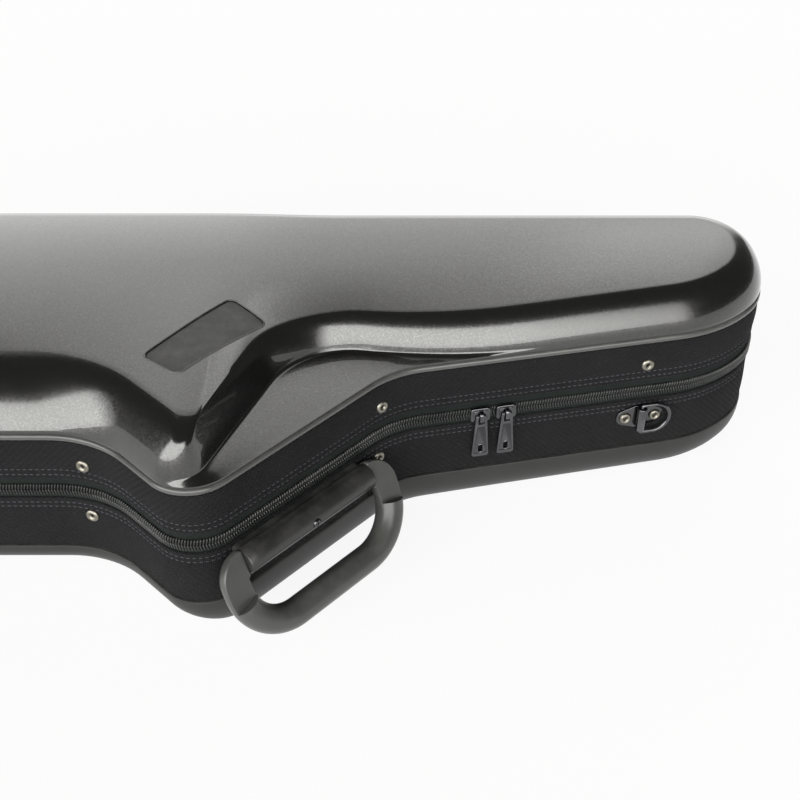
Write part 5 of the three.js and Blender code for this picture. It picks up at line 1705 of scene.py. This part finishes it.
def pull_tab(name):
    """A tapered tab with a raised edge, a slot for the bridge and a long hole; its hinge line is its origin."""
    top, thick = PULL_CROSSBAR / 2, PULL_THICKNESS / 2
    middle = top - PULL_LENGTH / 2
    outline = rounded_oblong(PULL_TOP, PULL_LENGTH, PULL_CORNER, PULL_BOTTOM)
    tab = slid(rounded(plate("Tab", outline, -thick, thick), PULL_EDGE, 3), y=middle)
    panel = rounded_oblong(PULL_TOP - PANEL_NARROWER[0], PULL_LENGTH - PANEL_SHORTER, PANEL_CORNER,
                           PULL_BOTTOM - PANEL_NARROWER[1])
    tools = []
    for face in (-thick, thick):
        sink = plate("Panel", panel, face - PANEL_DEPTH, face + PANEL_DEPTH)
        tools.append(slid(sink, y=middle - PANEL_DROP))
    slot = plate("Slot", rounded_oblong(*PULL_SLOT, PULL_SLOT_CORNER), -2 * thick, 2 * thick)
    tools.append(slid(slot, y=-top - PULL_SLOT[1] / 2))
    hole = top - PULL_LENGTH + PULL_HOLE[1]
    opening = rounded_oblong(*PULL_HOLE, PULL_HOLE[0] * PULL_HOLE_ROUND)
    tools.append(slid(plate("Hole", opening, -2 * thick, 2 * thick), y=hole))
    cut_by(tab, *tools)
    rims = [slid(collar(opening, side * (thick - PANEL_DEPTH)), y=hole) for side in (-1, 1)]
    return smoothed(joined(name, tab, *rims), 40)


class CASE_OT_sliders(bpy.types.Operator):
    """Build both zip sliders and their pulls"""

    bl_idname = "case.sliders"
    bl_label = "Sliders and pulls"

    def execute(self, context):
        for side, from_bow in SLIDERS.items():
            place = side_frame(from_bow, FRONT, 0, ZIP_LEVEL)
            slider = placed(slider_body(f"zip_slider_{side}"), place)
            dressed(slider, finishes["nickel"], f"slider_{side}", "black_nickel", f"slider_{side}")
            pull = placed(pull_tab(f"zip_pull_{side}"), hinge_frame(f"pull_{side}_hinge"))
            dressed(pull, finishes["nickel"], f"pull_{side}", "black_nickel", f"pull_{side}")
        return {"FINISHED"}


# Stage


# Strength of the light by its height and by its turn about the case, in degrees: height 0 is level and 90 straight
# up, turn 0 is towards the camera, 90 to the right and 180 behind. A pale wall stands behind, a bright band in front,
# and a soft glow behind.
WALL_RISE = ((-180, 0), (-3, 0), (0, 1.7), (34, 1.6), (48, 1.3), (56, 0.8), (66, 0))
WALL_TURN = ((-180, 1), (-157, 1), (-140, 0), (146, 0), (160, 1), (180, 1))
BAND_RISE = ((-180, 5.2), (2, 5.5), (37, 5), (43, 0.3), (50, 0))
BAND_TURN = ((-180, 0), (-86, 0), (-68, 1), (28, 1), (44, 0), (180, 0))
GLOW_RISE = ((-180, 0), (26, 0), (32, 0.7), (41, 0.7), (47, 0), (180, 0))
GLOW_TURN = ((-180, 0), (152, 0), (160, 1), (168, 1), (174, 0), (180, 0))
LIGHTS = ((WALL_RISE, 2, WALL_TURN), (BAND_RISE, 6, BAND_TURN), (GLOW_RISE, 3, GLOW_TURN))
CEILING = 0.09

# The floor's white in light and as the camera sees it, and the camera
FLOOR_SIZE = 12
FLOOR_WHITE = 0.9
FLOOR_SHOWN = 0.9
CAMERA_PLACE = (0.0805, -0.685, 0.6195)
CAMERA_TILT = math.radians(52)
CAMERA_LENS = 57.24
CAMERA_SENSOR = 36


def level_ramp(wiring, value, stops, top):
    """A value looked up between stops given as degrees from -180 to 180 and levels up to top."""
    share = wiring.math("DIVIDE", wiring.math("ADD", value, math.pi), 2 * math.pi)
    ramp = wiring.add("ShaderNodeValToRGB", {"Fac": share})
    elements = ramp.color_ramp.elements
    while len(elements) < len(stops):
        elements.new(0.5)
    for element, (degrees, level) in zip(elements, stops):
        element.position = (degrees + 180) / 360
        element.color = (level / top, level / top, level / top, 1)
    return wiring.math("MULTIPLY", ramp.outputs[0], top)


def sky_strength(wiring):
    """The dim ceiling and each light, which is its strength at a height times its reach at a turn."""
    towards = wiring.add("ShaderNodeTexCoord").outputs["Generated"]
    split = wiring.add("ShaderNodeSeparateXYZ", {0: towards}).outputs
    rise = wiring.math("ARCSINE", split["Z"])
    turn = wiring.math("ARCTAN2", split["X"], wiring.math("MULTIPLY", split["Y"], -1.0))
    lit = CEILING
    for by_rise, top, by_turn in LIGHTS:
        level, reach = level_ramp(wiring, rise, by_rise, top), level_ramp(wiring, turn, by_turn, 1)
        lit = wiring.math("ADD", lit, wiring.math("MULTIPLY", level, reach))
    return lit


def pale_floor():
    """A floor that shows white to the camera and in reflections and still takes the case's shadow."""
    bpy.ops.mesh.primitive_plane_add(size=FLOOR_SIZE, location=(0, 0, 0))
    floor = bpy.context.object
    floor.name = floor.data.name = "floor"
    material, wiring, shader = new_finish("Floor", Roughness=0.9, Specular_IOR_Level=0.1)
    shader["Base Color"].default_value = (FLOOR_WHITE, FLOOR_WHITE, FLOOR_WHITE, 1)
    rays = wiring.add("ShaderNodeLightPath").outputs
    seen = wiring.math("MAXIMUM", rays["Is Camera Ray"], rays["Is Glossy Ray"])
    seen = wiring.math("MAXIMUM", seen, rays["Is Transmission Ray"])
    white = wiring.add("ShaderNodeEmission", {"Color": (1, 1, 1, 1), "Strength": 1.0}).outputs[0]
    lit = material.node_tree.nodes["Principled BSDF"].outputs[0]
    share = wiring.math("MULTIPLY", seen, FLOOR_SHOWN)
    mixed = wiring.add("ShaderNodeMixShader", {0: share, 1: lit, 2: white}).outputs[0]
    wiring.tree.links.new(mixed, material.node_tree.nodes["Material Output"].inputs[0])
    floor.data.materials.append(material)


def studio_world():
    """The light round the case, which the camera itself sees as plain white."""
    world = bpy.data.worlds.new("Studio")
    world.use_nodes = True
    wiring = Wiring(world.node_tree)
    background = world.node_tree.nodes["Background"].inputs
    background["Color"].default_value = (1, 1, 0.985, 1)
    seen = wiring.add("ShaderNodeLightPath").outputs["Is Camera Ray"]
    strength = wiring.math("MAXIMUM", sky_strength(wiring), seen)
    wiring.tree.links.new(strength, background["Strength"])
    return world


def studio_camera():
    camera = bpy.data.cameras.new("Camera")
    camera.lens, camera.sensor_width = CAMERA_LENS, CAMERA_SENSOR
    view = bpy.data.objects.new("Camera", camera)
    view.location, view.rotation_euler = CAMERA_PLACE, (CAMERA_TILT, 0, 0)
    bpy.context.scene.collection.objects.link(view)
    return view


class CASE_OT_stage(bpy.types.Operator):
    """Set the floor, the light and the camera"""

    bl_idname = "case.stage"
    bl_label = "Stage"

    def execute(self, context):
        rest()
        pale_floor()
        context.scene.world = studio_world()
        context.scene.camera = studio_camera()
        context.scene.view_settings.view_transform = "Standard"
        return {"FINISHED"}


# The CAD nodes that stay, with the finish each takes
CARRIED_OVER = {
    "handle_seat": "rubber",
    "handle_backing_plate": "steel",
}


class CASE_OT_carried_over(bpy.types.Operator):
    """Give the CAD nodes that stay their finishes"""

    bl_idname = "case.carried_over"
    bl_label = "Carried-over fittings"

    def execute(self, context):
        for name, finish in CARRIED_OVER.items():
            node = frame["nodes"][name]
            node.data.materials.clear()
            node.data.materials.append(finishes[finish])
        return {"FINISHED"}


BUILDERS = (CASE_OT_lid, CASE_OT_bead, CASE_OT_bands, CASE_OT_zip, CASE_OT_hinge, CASE_OT_pan, CASE_OT_lining,
            CASE_OT_handle, CASE_OT_rivets, CASE_OT_straps, CASE_OT_sliders, CASE_OT_carried_over, CASE_OT_stage)


class CASE_PT_panel(bpy.types.Panel):
    """Sizes, colours and builders of the case"""

    bl_label = "Saxophone case"
    bl_idname = "CASE_PT_panel"
    bl_space_type = "VIEW_3D"
    bl_region_type = "UI"
    bl_category = "Case"

    def draw(self, context):
        for owner in (context.scene.case_sizes, context.scene.case_colours):
            box = self.layout.box()
            for name in owner.__annotations__:
                box.prop(owner, name)
        for builder in BUILDERS:
            self.layout.operator(builder.bl_idname)


CLASSES = (CaseSizes, CaseColours, *BUILDERS, CASE_PT_panel)


def register():
    for entry in CLASSES:
        bpy.utils.register_class(entry)
    bpy.types.Scene.case_sizes = PointerProperty(type=CaseSizes)
    bpy.types.Scene.case_colours = PointerProperty(type=CaseColours)


def unregister():
    del bpy.types.Scene.case_colours
    del bpy.types.Scene.case_sizes
    for entry in reversed(CLASSES):
        bpy.utils.unregister_class(entry)


def main():
    register()
    finishes.update(build_finishes(bpy.context.scene.case_colours))
    bpy.ops.case.lid()
    bpy.ops.case.bead()
    bpy.ops.case.bands()
    bpy.ops.case.zip()
    bpy.ops.case.hinge()
    bpy.ops.case.pan()
    bpy.ops.case.lining()
    bpy.ops.case.handle()
    bpy.ops.case.rivets()
    bpy.ops.case.straps()
    bpy.ops.case.sliders()
    bpy.ops.case.carried_over()
    bpy.ops.case.stage()


if __name__ == "__main__":
    main()
